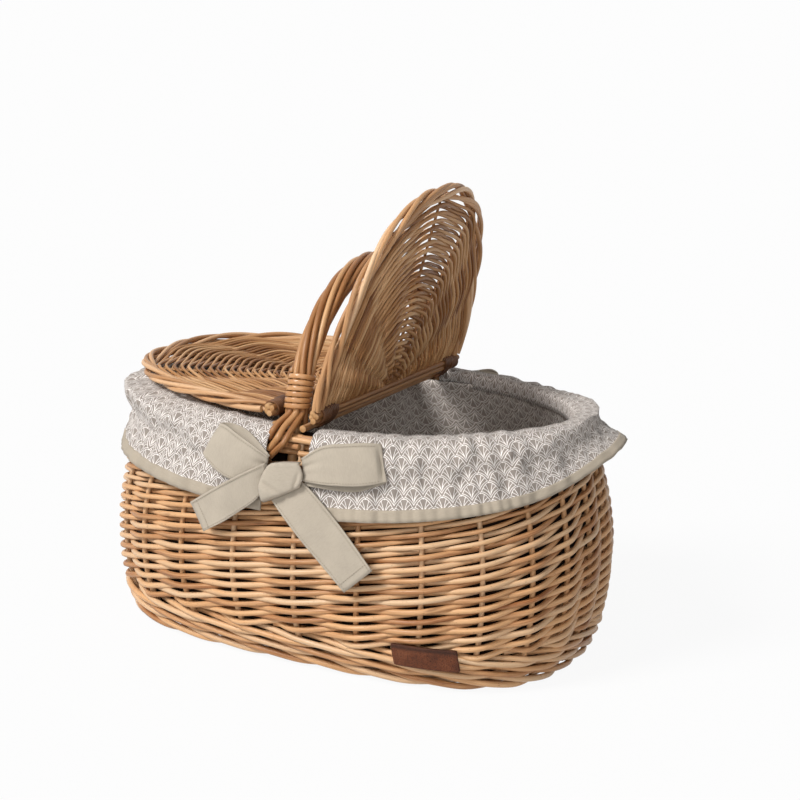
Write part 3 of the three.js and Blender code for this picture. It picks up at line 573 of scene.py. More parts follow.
def fan_lines(g, along, up):
    """Share of white thread in rows of fans: double arches with four rays from the foot of each."""

    def row_of(offset, level):
        """Of every second row: place across a fan, its outline there, and the next top above."""
        turned = g.maths("FLOORED_MODULO", g.plus(along, offset), FAN_WIDTH)
        x = g.minus(turned, FAN_WIDTH / 2)
        crest = g.plus(g.times(g.times(x, x), -OUTER_FALL), FAN_CREST)
        rows = g.maths("DIVIDE", g.minus(g.minus(up, crest), level), 2 * FAN_DROP)
        return x, crest, g.plus(g.times(g.maths("CEIL", rows), 2 * FAN_DROP), level)

    def off_line(depth, rate):
        """Distance from a parabola, from the depth straight below it."""
        slope = g.times(x, 2 * rate)
        return g.maths("DIVIDE", depth, g.root(g.plus(g.times(slope, slope), 1.0)))

    def band(away, width):
        return g.spread(g.maths("ABSOLUTE", away), width / 2 - 0.00006, width / 2 + 0.00008, 1.0, 0.0)

    even, odd = row_of(FAN_WIDTH / 2, 0.0), row_of(FAN_WIDTH, FAN_DROP)
    in_odd = g.maths("LESS_THAN", g.plus(odd[2], odd[1]), g.plus(even[2], even[1]))
    x, crest, top = (g.plus(g.times(in_odd, b), g.times(g.other(in_odd), a)) for a, b in zip(even, odd))
    height = g.minus(up, top)
    wide = g.maths("ABSOLUTE", x)
    outer = g.minus(off_line(g.minus(crest, height), OUTER_FALL), OUTER_LINE / 2)
    outer = g.times(band(outer, OUTER_LINE), g.spread(wide, 0.0003, 0.0007))
    under = g.minus(g.times(g.times(x, x), -INNER_FALL), height)
    inner = band(off_line(under, INNER_FALL), INNER_LINE)
    from_top = g.root(g.plus(g.times(x, x), g.times(height, height)))
    dot = g.spread(from_top, 0.0005, 0.0008, 1.0, 0.0)
    share = g.maths("MAXIMUM", g.maths("DIVIDE", g.plus(height, RAY_START), RAY_LENGTH), 0.0)
    lines = [band(g.times(g.minus(wide, g.times(g.maths("POWER", share, power), reach)), slant), RAY_LINE)
             for power, reach, slant in RAYS]
    rays = g.times(g.maths("MAXIMUM", *lines), g.spread(share, 0.1, 0.35))
    rays = g.times(rays, g.maths("GREATER_THAN", under, 0.0))
    arches = g.maths("MAXIMUM", g.maths("MAXIMUM", outer, inner), dot)
    return g.maths("MAXIMUM", arches, rays)


def cotton(name, ground, lines=None, under=None):
    """Cotton cloth: plain weave with slubs, and rows of fans if lines gives their colour."""
    g = Graph(bpy.data.materials.new(name))
    along, up = g.uv()
    threads = weave_height(g, along, up)
    spot = g.stretched((along, 1.0), (up, 1.0))
    slub = g.noise(g.stretched((along, 260.0), (up, 900.0)), 1.0, 2.0)
    tone = g.ramp(g.plus(g.times(slub, 0.4), g.times(g.noise(spot, 38.0, 3.0), 0.6)),
                  (0.30, shaded(ground, 0.94)), (0.55, ground), (0.78, shaded(ground, 1.04)))
    # Low places between the threads are painted darker: painted shade between the threads.
    tone = g.blend(g.spread(threads, 0.0, 0.5, 0.22, 0.0), tone, linear(shaded(ground, 0.66)))
    height = g.times(threads, 0.00010)
    if lines:
        frayed = g.times(g.minus(g.noise(spot, 1500.0, 1.0), 0.5), 0.00022)
        white = fan_lines(g, g.plus(along, frayed), g.plus(up, frayed))
        white = g.times(white, g.spread(slub, 0.25, 0.6, 0.8, 1.0))
        tone = g.blend(white, tone, linear(lines))
        height = g.plus(height, g.times(white, 0.00014))
    # A colour under, where given, covers the skin where the attribute under is 0; on the bag that is its
    # outside, painted dark as painted shade seen through the gaps in the wall.
    if under:
        tone = g.blend(g.other(g.attribute("under")), tone, linear(under))
    g.set(Base_Color=tone, Roughness=0.92, Specular_IOR_Level=0.15, Sheen_Weight=0.08,
          Sheen_Roughness=0.6)
    g.bump(height, 0.6)
    return g.owner


def hide(name, dark, middle, light):
    """Leather: pores and creases, darker and burnt along its upper edge."""
    g = Graph(bpy.data.materials.new(name))
    spot = g.node("ShaderNodeTexCoord").outputs["Object"]
    cells = g.node("ShaderNodeTexVoronoi", feature="DISTANCE_TO_EDGE")
    g.join(spot, cells.inputs["Vector"])
    cells.inputs["Scale"].default_value = 900.0
    crease = g.spread(cells.outputs["Distance"], 0.0, 0.12)
    stain = g.noise(spot, 60.0, 4.0)
    fine = g.noise(spot, 700.0, 2.0)
    tone = g.ramp(g.plus(g.times(stain, 0.7), g.times(fine, 0.3)),
                  (0.30, dark), (0.52, middle), (0.75, light))
    # The creases are painted darker: painted shade in the grooves of the grain.
    tone = g.blend(g.other(crease), tone, linear(shaded(dark, 0.7)))
    burnt = g.spread(g.plus(g.uv()[1], g.times(stain, 0.003)), -0.0035, -0.0012)
    tone = g.blend(g.times(burnt, 0.7), tone, linear((44, 22, 12)))
    g.set(Base_Color=tone, Roughness=0.55, Specular_IOR_Level=0.25)
    g.bump(g.plus(g.times(crease, 0.00012), g.times(fine, 0.00008)), 0.8)
    return g.owner


wall_willow = willow("wall_willow", (126, 68, 24), (206, 160, 114), (206, 177, 144), 0.45, coat=0.12)
lid_willow = willow("lid_willow", (92, 48, 18), (174, 126, 80), (214, 174, 130), 0.35, 0.5, 0.08)
rim_willow = willow("rim_willow", (128, 80, 40), (192, 146, 102), (226, 190, 152), 0.4, 0.45, 0.12)
handle_willow = willow("handle_willow", (124, 74, 34), (178, 130, 84), (214, 172, 126), 0.25, coat=0.15)
binding_willow = willow("binding_willow", (108, 60, 24), (178, 126, 78), (218, 172, 122), 0.3, 0.3, 0.5)
dark_willow = willow("dark_willow", (40, 20, 8), (84, 50, 26), (124, 84, 52), 0.2, 0.5, 0.1)
liner_cotton = cotton("liner_cotton", (150, 140, 132), (250, 244, 239))
# The bag's inside carries the fan print, and its outside is painted a near-black brown: painted shade
# behind the gaps between the wall's rods.
lining_print_and_painted_shade = cotton("lining_print_and_painted_shade", (150, 140, 132), (236, 228, 220), under=(40, 25, 16))
trim_cotton = cotton("trim_cotton", (172, 160, 143))
ribbon_cotton = cotton("ribbon_cotton", (178, 167, 151))
thread_cotton = cotton("thread_cotton", (160, 148, 132))
brown_hide = hide("brown_hide", (66, 32, 16), (116, 62, 34), (144, 88, 58))


# Wall

def make_stakes():
    stakes = Rods()
    for i in range(STAKES):
        path = spline([stake_point(i, level) for level in STAKE_LEVELS], 4)
        stakes.add(path, np.linspace(STAKE_RADIUS + 0.3, STAKE_RADIUS - 0.1, len(path)))
    stakes.build("stakes", wall_willow)


def make_side_rods():
    """Two rods begin inside each stake. Each rises two layers from a stake to the next."""
    weave = Rods()
    off = STAKE_RADIUS + WEAVER_RADIUS - 0.35
    wobble = draw.normal(0, 0.25, (STAKES * 3, LAYERS))
    for begin in range(SEAM, SEAM + STAKES):
        for first in (0, 1):
            count = (LAYERS - 1 - first) // 2 + 1
            points = [stake_point(begin - 0.45, FIRST_LAYER + ROW_PITCH * (first - 0.3), -off)]
            for k in range(count):
                i, layer = begin + k, first + 2 * k
                level = FIRST_LAYER + ROW_PITCH * layer + wobble[i, layer]
                points.append(stake_point(i, level, -off if (layer - i) % 2 else off))
                ahead = ROW_PITCH + draw.normal(0, 0.2)
                points.append(stake_point(i + 0.5, level + ahead, draw.normal(0, 0.25)))
            points[-1] = stake_point(begin + count - 0.55, level + ROW_PITCH * 0.5, -off)
            path = spline(points, 5)
            weave.add(path, np.linspace(0.3, -0.25, len(path)) + WEAVER_RADIUS + draw.normal(0, 0.1))
    weave.build("side_rods", wall_willow, "side_weave")


def make_wale(name, middle, radius, start, *nodes):
    """Three rods that pass outside two stakes and inside one in turn, each over the last."""
    rods = Rods()
    drop = 2 * radius - 0.3
    out = STAKE_RADIUS + radius - 0.4
    last = BACK_STAKE + STAKES
    for which in range(3):
        points = []
        for i in range(BACK_STAKE, last):
            phase = (i - which - start) % 3
            level = middle + drop * (0.0, 0.5, -0.5)[phase] + draw.normal(0, 0.15)
            points.append(stake_point(i, level, (-out - 0.2, out, out)[phase]))
            points.append(stake_point(i + 0.5, middle + drop * (0.62, 0.0, -0.62)[phase],
                                      (0.0, out + radius * 0.3, 0.0)[phase]))
        points += [stake_point(last, middle, out), stake_point(last + 0.5, middle, 0.0)]
        path = spline(points, 5)
        shares = np.array([0.0, 0.22 + 0.05 * which, 0.80 + 0.04 * which, 1.0])
        cuts = (shares * (len(path) - 1)).astype(int)
        for a, b in zip(cuts, cuts[1:]):
            rods.add(path[a:b + 1], np.linspace(radius + 0.1, radius - 0.35, b + 1 - a))
    rods.build(name, wall_willow, *nodes)


def make_border():
    rods = Rods()
    for which, (level, off) in enumerate(BORDER_RODS):
        path = spline([stake_point(i + 0.33 * which, level + draw.normal(0, 0.2),
                                   off + draw.normal(0, 0.3)) for i in range(STAKES + 1)], 6)
        rods.add(path, WALE_RADIUS + 0.1)
    rods.build("border_rods", wall_willow, "border_hoop")


def make_border_pair():
    """Two rods that pass outside and inside the stakes in turn, and cross between them."""
    pair = Rods()
    off = STAKE_RADIUS + WALE_RADIUS - 0.4
    for which, middle in enumerate(PAIR_LEVELS):
        points = []
        for i in range(STAKES + 1):
            points.append(stake_point(i, middle + draw.normal(0, 0.15), off if (i + which) % 2 else -off))
            if i < STAKES:
                points.append(stake_point(i + 0.5, middle + draw.normal(0, 0.15, 2).mean()))
        pair.add(spline(points, 5), WALE_RADIUS)
    pair.build("border_pair", wall_willow,
               "border_pair_rod_1", "border_pair_rod_2")


def make_base():
    """Sticks that fan out from a spine of three, and rods that wind over and under them."""
    floor = [1, 1, 0]
    ends = [outer_point(a, 0) * floor + up(BASE_LEVEL) for a in even_azimuths(BASE_STICKS, 0)]
    half = (BASE_LENGTH - BASE_WIDTH) / 2
    starts = [np.array([e[0] * half / (BASE_LENGTH / 2), 0.0, BASE_LEVEL]) for e in ends]
    sticks = Rods()
    for start, end in zip(starts, ends):
        tip = end * floor * (1 - 6.0 / np.linalg.norm(end[:2])) + up(BASE_LEVEL)
        sticks.add(spline([start, (start + tip) / 2, tip], 4), 2.1)
    for y in SPINE_OFFSETS:
        line = [[-half - 4, y, BASE_LEVEL], [0, y, BASE_LEVEL + 0.2], [half + 4, y, BASE_LEVEL]]
        sticks.add(spline(line, 6), 2.4)
    sticks.build("base_sticks_round", wall_willow, "base_sticks")
    weave = Rods()
    passes = BASE_ROUNDS * BASE_STICKS
    path = []
    for i in range(passes + 1):
        start, end = starts[i % BASE_STICKS], ends[i % BASE_STICKS]
        lift = up(BASE_LIFT if i % 2 else -BASE_LIFT)
        path.append(start + (end - start) * (0.12 + 0.8 * i / passes) + lift)
    for a in range(0, len(path) - 3, 40):
        part = spline(path[a:a + 41], 4)
        weave.add(part, np.linspace(2.2, 1.8, len(part)))
    weave.build("base_rods", wall_willow, "base_weave")


# Handle

def bow_point(angle):
    """Point on the handle's middle line, from its front foot (0) over the top to the back (pi)."""
    c = cos(angle)
    power = 2 / HANDLE_CURVE
    return np.array([0.0, -HANDLE_SPAN / 2 * copysign(abs(c) ** power, c),
                     RIM_HEIGHT + (HANDLE_HEIGHT - RIM_HEIGHT) * abs(sin(angle)) ** power])


def bow_angle(height):
    return asin(((height - RIM_HEIGHT) / (HANDLE_HEIGHT - RIM_HEIGHT)) ** (HANDLE_CURVE / 2))


def bow_normal(angle):
    along = unit(bow_point(angle + 0.01) - bow_point(angle - 0.01))
    return np.cross(along, [1.0, 0.0, 0.0])


def leg(side):
    return [wall_point(side * pi / 2, z, LEG_DEPTH + CORE_RADIUS) * [0, 1, 1]
            for z in (RIM_HEIGHT - 60, RIM_HEIGHT - 30, RIM_HEIGHT - 8)]


# Ends of the three front strands, from the right: a point over the border, then x and z on the wall
STRAND_ENDS = (((5.0, -138.5, 212.5), (3.0, 203.0), (-2.0, 197.5), (-8.5, 190.0)),
               ((-1.5, -137.5, 215.5), (-3.0, 207.0), (-6.0, 202.0), (-11.0, 195.5)),
               ((-7.0, -137.0, 218.0), (-8.5, 212.0), (-10.0, 208.5), (-12.0, 204.5)))


def splayed_end(which):
    """Route of a strand's end at the front foot: out over the border and down, to the left."""
    above, *lower = STRAND_ENDS[which]
    depth = -(STRAND_RADIUS + 0.8)
    return [np.array(above)] + [wall_point(azimuth_at(x, z, -1), z, depth) for x, z in lower]


def make_core():
    core = Rods()
    bend = [bow_point(a) for a in np.linspace(0.1, pi - 0.1, 26)]
    core.add(spline(leg(-1) + bend + leg(1)[::-1], 4), CORE_RADIUS, sides=14)
    core.build("handle_core_rod", handle_willow, "handle_core")


def strand_route(k):
    """Route of a strand round the core, from the front foot to the back."""
    first = bow_angle(BINDING_BOTTOM - 3)
    points = []
    for share in np.linspace(0, 1, 61):
        angle = first + (pi - 2 * first) * share
        turn = TAU / STRANDS * (k + 0.5) + TAU * STRAND_TURNS * share
        out = np.array([-sin(turn), 0.0, 0.0]) - bow_normal(angle) * cos(turn)
        points.append(bow_point(angle) + out * (STRAND_RING + 0.15 * sin(9 * share + k)))
    return points


def strand_foot(which, point):
    """Route from the end of a strand at its front foot, splayed or straight down."""
    if which < len(STRAND_ENDS):
        return splayed_end(which)
    return [point * [1, 1, 0] + up(RIM_HEIGHT + 1.5)]


def make_strands():
    strands = Rods()
    turned = np.array([-1.0, -1.0, 1.0])
    for k in range(STRANDS):
        points = strand_route(k)
        front = strand_foot((k + 2) % STRANDS, points[0])
        back = strand_foot(STRANDS - 1 - k, points[-1] * turned)
        path = spline(front[::-1] + points + [p * turned for p in back], 4)
        thick = STRAND_RADIUS - 0.1 + 0.12 * np.sin(np.linspace(0, 9, len(path)) + 2 * k)
        strands.add(path, thick, sides=12)
    strands.build("handle_strands", handle_willow,
                  *[f"handle_strand_{k + 1}" for k in range(STRANDS)])


def make_bindings():
    ring = STRAND_RING + STRAND_RADIUS + 0.7
    steps = 28
    for side, name in ((1, "front"), (-1, "back")):
        strip = Rods()
        path, outs = [], []
        for i in range(int(BINDING_TURNS * steps) + 1):
            angle = bow_angle(BINDING_BOTTOM + BINDING_PITCH * i / steps)
            turn = TAU * i / steps + 1.0
            out = np.array([cos(turn), 0.0, 0.0]) + bow_normal(angle) * sin(turn)
            path.append((bow_point(angle) + out * ring) * [side, side, 1])
            outs.append(out * [side, side, 1])
        strip.add(path, 0.75, tone=0.55, sides=10, out=np.array(outs), width=2.15)
        strip.build(f"binding_{name}", binding_willow,
                    f"handle_binding_{name}")


# Hinges

def make_bar(side, name):
    x = side * CROSS_BAR_OFFSET
    bends = ((-CROSS_BAR_HALF, 0, 0), (-60, 0.4, 0.3), (0, 0, 0), (60, -0.3, 0.2), (CROSS_BAR_HALF, 0, 0))
    bar = Rods()
    bar.add(spline([[x + dx, y, CROSS_BAR_HEIGHT + dz] for y, dx, dz in bends], 8), CROSS_BAR_RADIUS,
            sides=14)
    bar.build(f"bar_{name}", handle_willow, f"cross_bar_{name}")


def make_loop(side, name, end, end_name):
    """A strip wound round a cross bar and the hinge bar beside it."""
    steps = 30
    small = np.array([CROSS_BAR_OFFSET, CROSS_BAR_HEIGHT])
    between = np.array([HINGE_OFFSET, HINGE_HEIGHT]) - small
    heading = atan2(between[1], between[0])
    path, outs = [], []
    for i in range(LOOP_TURNS * steps + 1):
        a = TAU * i / steps
        lean = 0.5 + 0.5 * cos(a)
        out = np.array([cos(heading + a), sin(heading + a)])
        at = small + between * lean + out * (4.0 + 3.0 * lean)
        y = end * LOOP_PLACE + LOOP_WIDTH * (i / (LOOP_TURNS * steps) - 0.5)
        path.append([side * at[0], y, at[1]])
        outs.append([side * out[0], 0.0, out[1]])
    wrap = Rods()
    wrap.add(path, 0.8, tone=0.5, sides=8, out=np.array(outs), width=1.35)
    wrap.build(f"wrap_{name}_{end_name}", dark_willow,
               f"hinge_loop_{name}_{end_name}")


# Lids

def lid_radius(angle):
    return oval_radius(angle, LID_REACH, LID_WIDTH / 2, LID_SQUARENESS)


def ray(angle, radius, lift=0.0):
    return [radius * cos(angle), radius * sin(angle), lift]


class Lid:
    """A lid's side and tilt. Points on it are given out from the hinge, along it, and up off the lid."""

    def __init__(self, side, tilt):
        self.side, self.tilt = side, radians(tilt)

    def world(self, points):
        p = np.asarray(points, float)
        c, s = cos(self.tilt), sin(self.tilt)
        out, rise = p[:, 0] * c - p[:, 2] * s, p[:, 0] * s + p[:, 2] * c
        return np.stack([self.side * (HINGE_OFFSET + out), self.side * p[:, 1], HINGE_HEIGHT + rise], 1)

    def add_hinge_bar(self, rods):
        """Four rods side by side, a little twisted and cut unevenly."""
        for k in range(4):
            turn = TAU * (k + 0.5) / 4
            ends = (-HINGE_BAR_HALF + 1.5 * draw.normal(), HINGE_BAR_HALF + 1.5 * draw.normal())
            line = [[3.1 * cos(turn + 0.15 * twist), y, 3.1 * sin(turn + 0.15 * twist)]
                    for twist, y in zip(np.linspace(-1, 1, 7), np.linspace(*ends, 7))]
            rods.add(self.world(spline(line, 4)), 2.55, sides=10)

    def winding(self, end):
        """A strip wound round one end of the hinge bar."""
        turns, steps = 5, 24
        along = np.linspace(0, turns, turns * steps + 1)
        outs = np.stack([np.cos(TAU * along), 0 * along, np.sin(TAU * along)], 1)
        path = outs * 6.2 + np.outer(125.0 - 13.0 * along / turns, [0, end, 0])
        rods = Rods()
        rods.add(self.world(path), 1.0, tone=0.75, sides=10, width=1.15,
                 out=self.world(path + outs) - self.world(path))
        return rods

    def add_spokes(self, rods):
        for angle in SPOKES:
            line = [ray(angle, r) for r in np.linspace(3, lid_radius(angle) - 9, 6)]
            rods.add(self.world(spline(line, 3)), np.linspace(1.6, 1.25, 16))

    def rows(self, snug):
        """Rods over and under the spokes, straight between them. Snug rods leave narrower gaps."""
        rods = Rods()
        low, high = 13.0 / LID_REACH, (LID_REACH - 15.0) / LID_REACH
        number = int((high - low) * LID_REACH / LID_PITCH)
        wander = draw.normal(0, 0.45, (number, len(SPOKES)))
        for j in range(number):
            share = low + (high - low) * j / (number - 1)
            edge = share * (LID_WIDTH / 2 - 2)
            points, thick = [[2.0, -edge, 0.0]], [1.3]
            for k, angle in enumerate(SPOKES):
                reach = lid_radius(angle)
                half = min(0.5 * LID_PITCH * reach / LID_REACH + (-0.15 if abs(angle) > 1 else snug), 1.8)
                points.append(ray(angle, share * reach + wander[j, k], 2.5 if (j + k) % 2 else -2.5))
                thick.append(half)
                if k + 1 < len(SPOKES):
                    middle = (angle + SPOKES[k + 1]) / 2
                    chord = share * lid_radius(middle) * cos(angle - middle)
                    points.append(ray(middle, chord, draw.normal(0, 0.3)))
                    thick.append(half)
            points.append([2.0, edge, 0.0])
            thick.append(1.3)
            path = spline(points, 6)
            radius = np.interp(np.linspace(0, 1, len(path)), np.linspace(0, 1, len(thick)), thick)
            rods.add(self.world(path), radius * draw.uniform(0.84, 1.10), sides=7)
        return rods

    def rim(self):
        """Rods that wind round each other along the lid's outline."""
        rods = Rods()
        limit = acos(6.0 / (LID_WIDTH / 2 - LID_RIM_INSET))
        for k in range(LID_RIM_RODS):
            path = []
            for share in np.linspace(0, 1, 121):
                angle = limit * (2 * share - 1)
                normal = oval_normal(cos(angle), sin(angle), LID_REACH, LID_WIDTH / 2,
                                     LID_SQUARENESS)
                turn = TAU * (k / LID_RIM_RODS + 2.9 * share) + 0.45 * sin(9 * share + 2 * k)
                loose = 1 + 0.10 * sin(17 * share + 1.7 * k)
                path.append(ray(angle, lid_radius(angle)) + up(sin(turn) * 3.4 * loose)
                            + normal * (cos(turn) * 5.4 * loose - LID_RIM_INSET))
            path = spline(path, 3)
            thick = 2.15 + 0.2 * np.cos(np.linspace(0, pi, len(path))) * (-1) ** k
            rods.add(self.world(path), thick, sides=10)
        return rods


def make_lid(side, name, tilt, snug):
    lid = Lid(side, tilt)
    body = f"{name}_lid"
    frame_rods = Rods()
    lid.add_hinge_bar(frame_rods)
    for end in (-1, 1):
        tag = "front" if end * side < 0 else "back"
        lid.winding(end).build(f"{name}_lid_winding_{tag}", dark_willow, body=body)
    lid.add_spokes(frame_rods)
    frame_rods.build(f"{name}_lid_frame_rods", lid_willow, f"{name}_lid_frame", body=body)
    lid.rows(snug).build(f"{name}_lid_rods", lid_willow, f"{name}_lid_weave", body=body)
    lid.rim().build(f"{name}_lid_rim", rim_willow, f"{name}_lid_rim_rod_1",
                    f"{name}_lid_rim_rod_2", body=body)


# Liner

def make_bag():
    """Bag that lies on the base and stands against the wall, drawn in round the handle's legs."""
    azimuths = even_azimuths(220, BELLY_HEIGHT)
    floor = [wall_point(a, 20, 24.0) * [1, 1, 0] for a in azimuths]
    rows = [[p * share + up(BAG_FLOOR) for p in floor] for share in (0.02, 0.3, 0.6, 0.85, 0.97)]
    for z in BAG_LEVELS:
        row = []
        for a in azimuths:
            p = wall_point(a, z, 17.4)
            near = 12 * hump(p[0], 0, 28) * smooth(z, 30, 150)
            fold = 1.2 * (1 + sin(21 * a + 2 * sin(3 * a))) * smooth(z, 20, 80)
            p = p - plan_normal(a, z) * (near + fold)
            row.append([p[0], p[1], z])
        rows.append(row)
    bag, flat = cloth("bag_cloth", rows, CLOTH_THICKNESS, lining_print_and_painted_shade, "liner_bag",
                      closed=True)


def skirt_folds(side):
    """Along a skirt: ridges of 0 to 1.2, ripples of 0 to 1, and eight rows of soft bumps."""
    local = np.random.default_rng(11 + side)
    arc = np.linspace(0, FOLD_RUN, SKIRT_COLUMNS)
    pace = 1 + 0.35 * np.interp(arc, np.linspace(0, FOLD_RUN, 15), local.normal(0, 1, 15))
    phase = np.cumsum(pace) * (FOLD_RUN / SKIRT_COLUMNS) * TAU / FOLD_PITCH
    strength = 0.7 + 0.5 * np.interp(arc, np.linspace(0, FOLD_RUN, 21), local.uniform(-1, 1, 21))
    ridge = (0.5 - 0.5 * np.cos(phase)) ** 1.3 * strength
    fine = np.sin(phase * 2.3 + 1.0) * 0.5 + 0.5
    knots = local.normal(0, 1, (8, 72))
    spot = arc / FOLD_RUN * 71
    low = np.minimum(spot.astype(int), 70)
    part = smooth(spot - low, 0, 1)
    return ridge, fine, knots[:, low] * (1 - part) + knots[:, low + 1] * part


def skirt_surface(side):
    """Rows of points of a skirt, from inside the border over it and down to the lower edge."""
    level = RIM_HEIGHT - 10
    start = azimuth_at(side * SKIRT_FAR, level, -side)
    end = azimuth_at(side * SKIRT_NEAR, level, side)
    if side < 0:
        end += TAU
    azimuths = even_azimuths(SKIRT_COLUMNS, level, start, end, closed=False)
    ridge, fine, bumps = skirt_folds(side)
    shares = np.concatenate([[-0.30, -0.22, -0.16, -0.10, -0.05], np.linspace(0, 1, 30)])
    rows = []
    for share in shares:
        row = min(max((share + 0.1) * 6.3, 0.0), 6.99)
        part = smooth(row - int(row), 0, 1)
        bump = bumps[int(row)] * (1 - part) + bumps[int(row) + 1] * part
        rows.append([skirt_point(*values) for values in zip(azimuths, [share] * len(azimuths),
                                                            ridge, fine, bump)])
    return shares, np.array(rows)


def edge_level(azimuth):
    """Level of a skirt's lower edge, which rises towards the ends, and more at the right."""
    x = outer_point(azimuth, 146)[0]
    lift = 22.0 if x > 0 else 9.0
    return 147.0 + lift * (2 * x / BELLY_LENGTH) ** 2


def under_lid(point):
    """A cloth point, kept low enough for a shut lid to pass over it."""
    x, y = abs(point[0]) - HINGE_OFFSET, point[1]
    beyond = hypot(x, y) - lid_radius(atan2(y, x))
    top = 219.0 + 0.012 * x + 13.0 * smooth(beyond, 0.5, 5.0)
    return np.array([point[0], point[1], min(point[2], top)])


def skirt_point(azimuth, share, ridge, fine, bump):
    """Point of a skirt. The share is below 0 on the border and inside it, and 0 to 1 down the wall.

    At the right end the cloth is lifted off the wall and flares out, and at the left end it puffs."""
    rim = outer_point(azimuth, RIM_HEIGHT)
    flat = plan_normal(azimuth, RIM_HEIGHT)
    turn = atan2(sin(azimuth), cos(azimuth))
    flare = hump(turn, 0.10, 0.34 if turn > 0.1 else 0.27)
    middle = hump(rim[0], 0, 40)
    free = 1 - middle
    crest = 2.0 + (2.2 * ridge + 0.8 * bump) * free
    if share <= 0:
        t = -share / 0.30
        rise = 2.0 * t + crest * (1 - t) - 12.0 * smooth(t, 0.5, 1.0) + 1.6 * sin(pi * t)
        base = rim - flat * (17.5 * smooth(t, 0.0, 0.62) - 1.5) + up(rise)
        height = 13 - 8 * smooth(t, 0, 0.17) - 18 * smooth(t, 0.4, 1.0)
        lifted = rim + flat * (7 - 21 * smooth(t, 0, 0.8)) + up(height)
        weight = flare * (1 - t) ** 0.7
        return under_lid(base * (1 - weight) + lifted * weight)
    left = hump(abs(turn), 2.75, 0.42)
    top = RIM_HEIGHT - 1
    over = 6.0 * hump(rim[0], 0, 42) * (1 - 0.5 * share)
    puff = (5.0 * free + 13.0 * left) * hump(share, 0.20, 0.17)
    fold = (1.9 - 0.5 * share) * ridge * (1 - 0.85 * middle) * (1 - 0.7 * left) + fine * share * free
    pucker = 1.7 * bump * free * smooth(share, 0.0, 0.12) * (1 - 0.75 * smooth(share, 0.45, 1.0))
    off = 2.6 + over + puff + fold + max(pucker, -1.5) + 1.4 * share ** 2
    base = wall_point(azimuth, top - (top - edge_level(azimuth)) * share, -off * smooth(share, -0.12, 0.10))
    lean = smooth(share, 0.0, 0.12)
    base = base * lean + (rim + flat * 1.5 + up(crest)) * (1 - lean)
    run = 62.0 * share
    outward = 7 + 25 * max(0.0, (run - 18) / 44) ** 1.2
    height = 13 - 15 * smooth(run, 4, 26) - 14 * max(0.0, (run - 20) / 42)
    wave = 2.5 * (ridge - 0.4) * share + 0.8 * bump
    lifted = rim + flat * outward + up(height + wave)
    return under_lid(base * (1 - flare) + lifted * flare)


def make_skirts():
    """Two skirts, each with a trim band that hangs over its lower edge."""
    for side, name in ((-1, "left"), (1, "right")):
        shares, rows = skirt_surface(side)
        skirt, flat = cloth(f"skirt_cloth_{name}", rows, CLOTH_THICKNESS, liner_cotton,
                            f"skirt_{name}", uv_start=(0.003 * side, 0.004), cut=slice(-8, None))
        low = rows[shares > 0.86]
        reach = np.linspace(-0.2, 1.0, len(low))[:, None, None]
        drop = unit(np.gradient(low, axis=0)) * (reach ** 3) * 2.0
        band, _ = cloth(f"trim_band_{name}", low + drop, 2.0, trim_cotton,
                        f"trim_{name}")


# Bows

# Each ribbon of a bow: pairs of places on its upper and its lower edge, from the knot outwards.
# A place is how far along the basket, how high, and how far off the cloth.
BOW = {
    "loop_left": (((-2, 191, 6), (-5, 174, 4)), ((-14, 198, 11), (-20, 168, 6)),
                  ((-30, 204, 13), (-37, 167, 8)), ((-45, 208, 12), (-55, 172, 8)),
                  ((-55, 208, 8), (-71, 181, 6)), ((-46, 210, 3), (-58, 180, 2.5)),
                  ((-27, 207, 3), (-36, 174, 2.5)), ((-3, 192, 4), (-8, 179, 3.5))),
    "loop_right": (((27, 194, 6), (29, 176, 5)), ((44, 205, 10), (49, 175, 9)),
                   ((64, 208, 12), (73, 176, 10)), ((78, 209, 11), (87, 178, 9)),
                   ((88, 209, 7), (98, 181, 5)), ((80, 208, 3), (89, 177, 2)),
                   ((60, 205, 2.5), (70, 171, 2)), ((28, 192, 3), (31, 172, 3))),
    "tail_left": (((-1, 187, 12), (-4, 163, 6)), ((-16, 178, 14), (-12, 153, 6)),
                  ((-37, 166, 12), (-27, 142, 4)), ((-58, 154, 6), (-44, 130, 3)),
                  ((-81, 139, 3.5), (-64, 118, 3))),
    "tail_right": (((28, 176, 4), (3, 157, 3)), ((40, 167, 4), (14, 146, 3.5)),
                   ((58, 150, 3), (34, 126, 3)), ((77, 131, 3), (54, 107, 2.5)),
                   ((95, 111, 4), (72, 90, 3))),
}
KNOT_LEFT = ((4, 187), (-1, 182), (-5, 173), (-6, 164), (-3, 154))
KNOT_RIGHT = ((26, 190), (29, 186), (31, 181), (31, 176), (29, 171))


def over_cloth(x, level, lift):
    azimuth = azimuth_at(x, level, -1)
    over = 6.0 * hump(outer_point(azimuth, RIM_HEIGHT)[0], 0, 42)
    return wall_point(azimuth, level, -(4.5 + over + lift))


def add_stitches(thread, line, first):
    """Short stitches along a line of points, from a length along it."""
    run = run_along(line)
    for at in np.arange(first, run[-1] - 1.5, 2.5):
        ends = [[np.interp(at + d, run, line[:, k]) for k in range(3)] for d in (0.0, 0.7, 1.4)]
        thread.add(ends, 0.22, tone=0.5, sides=5)


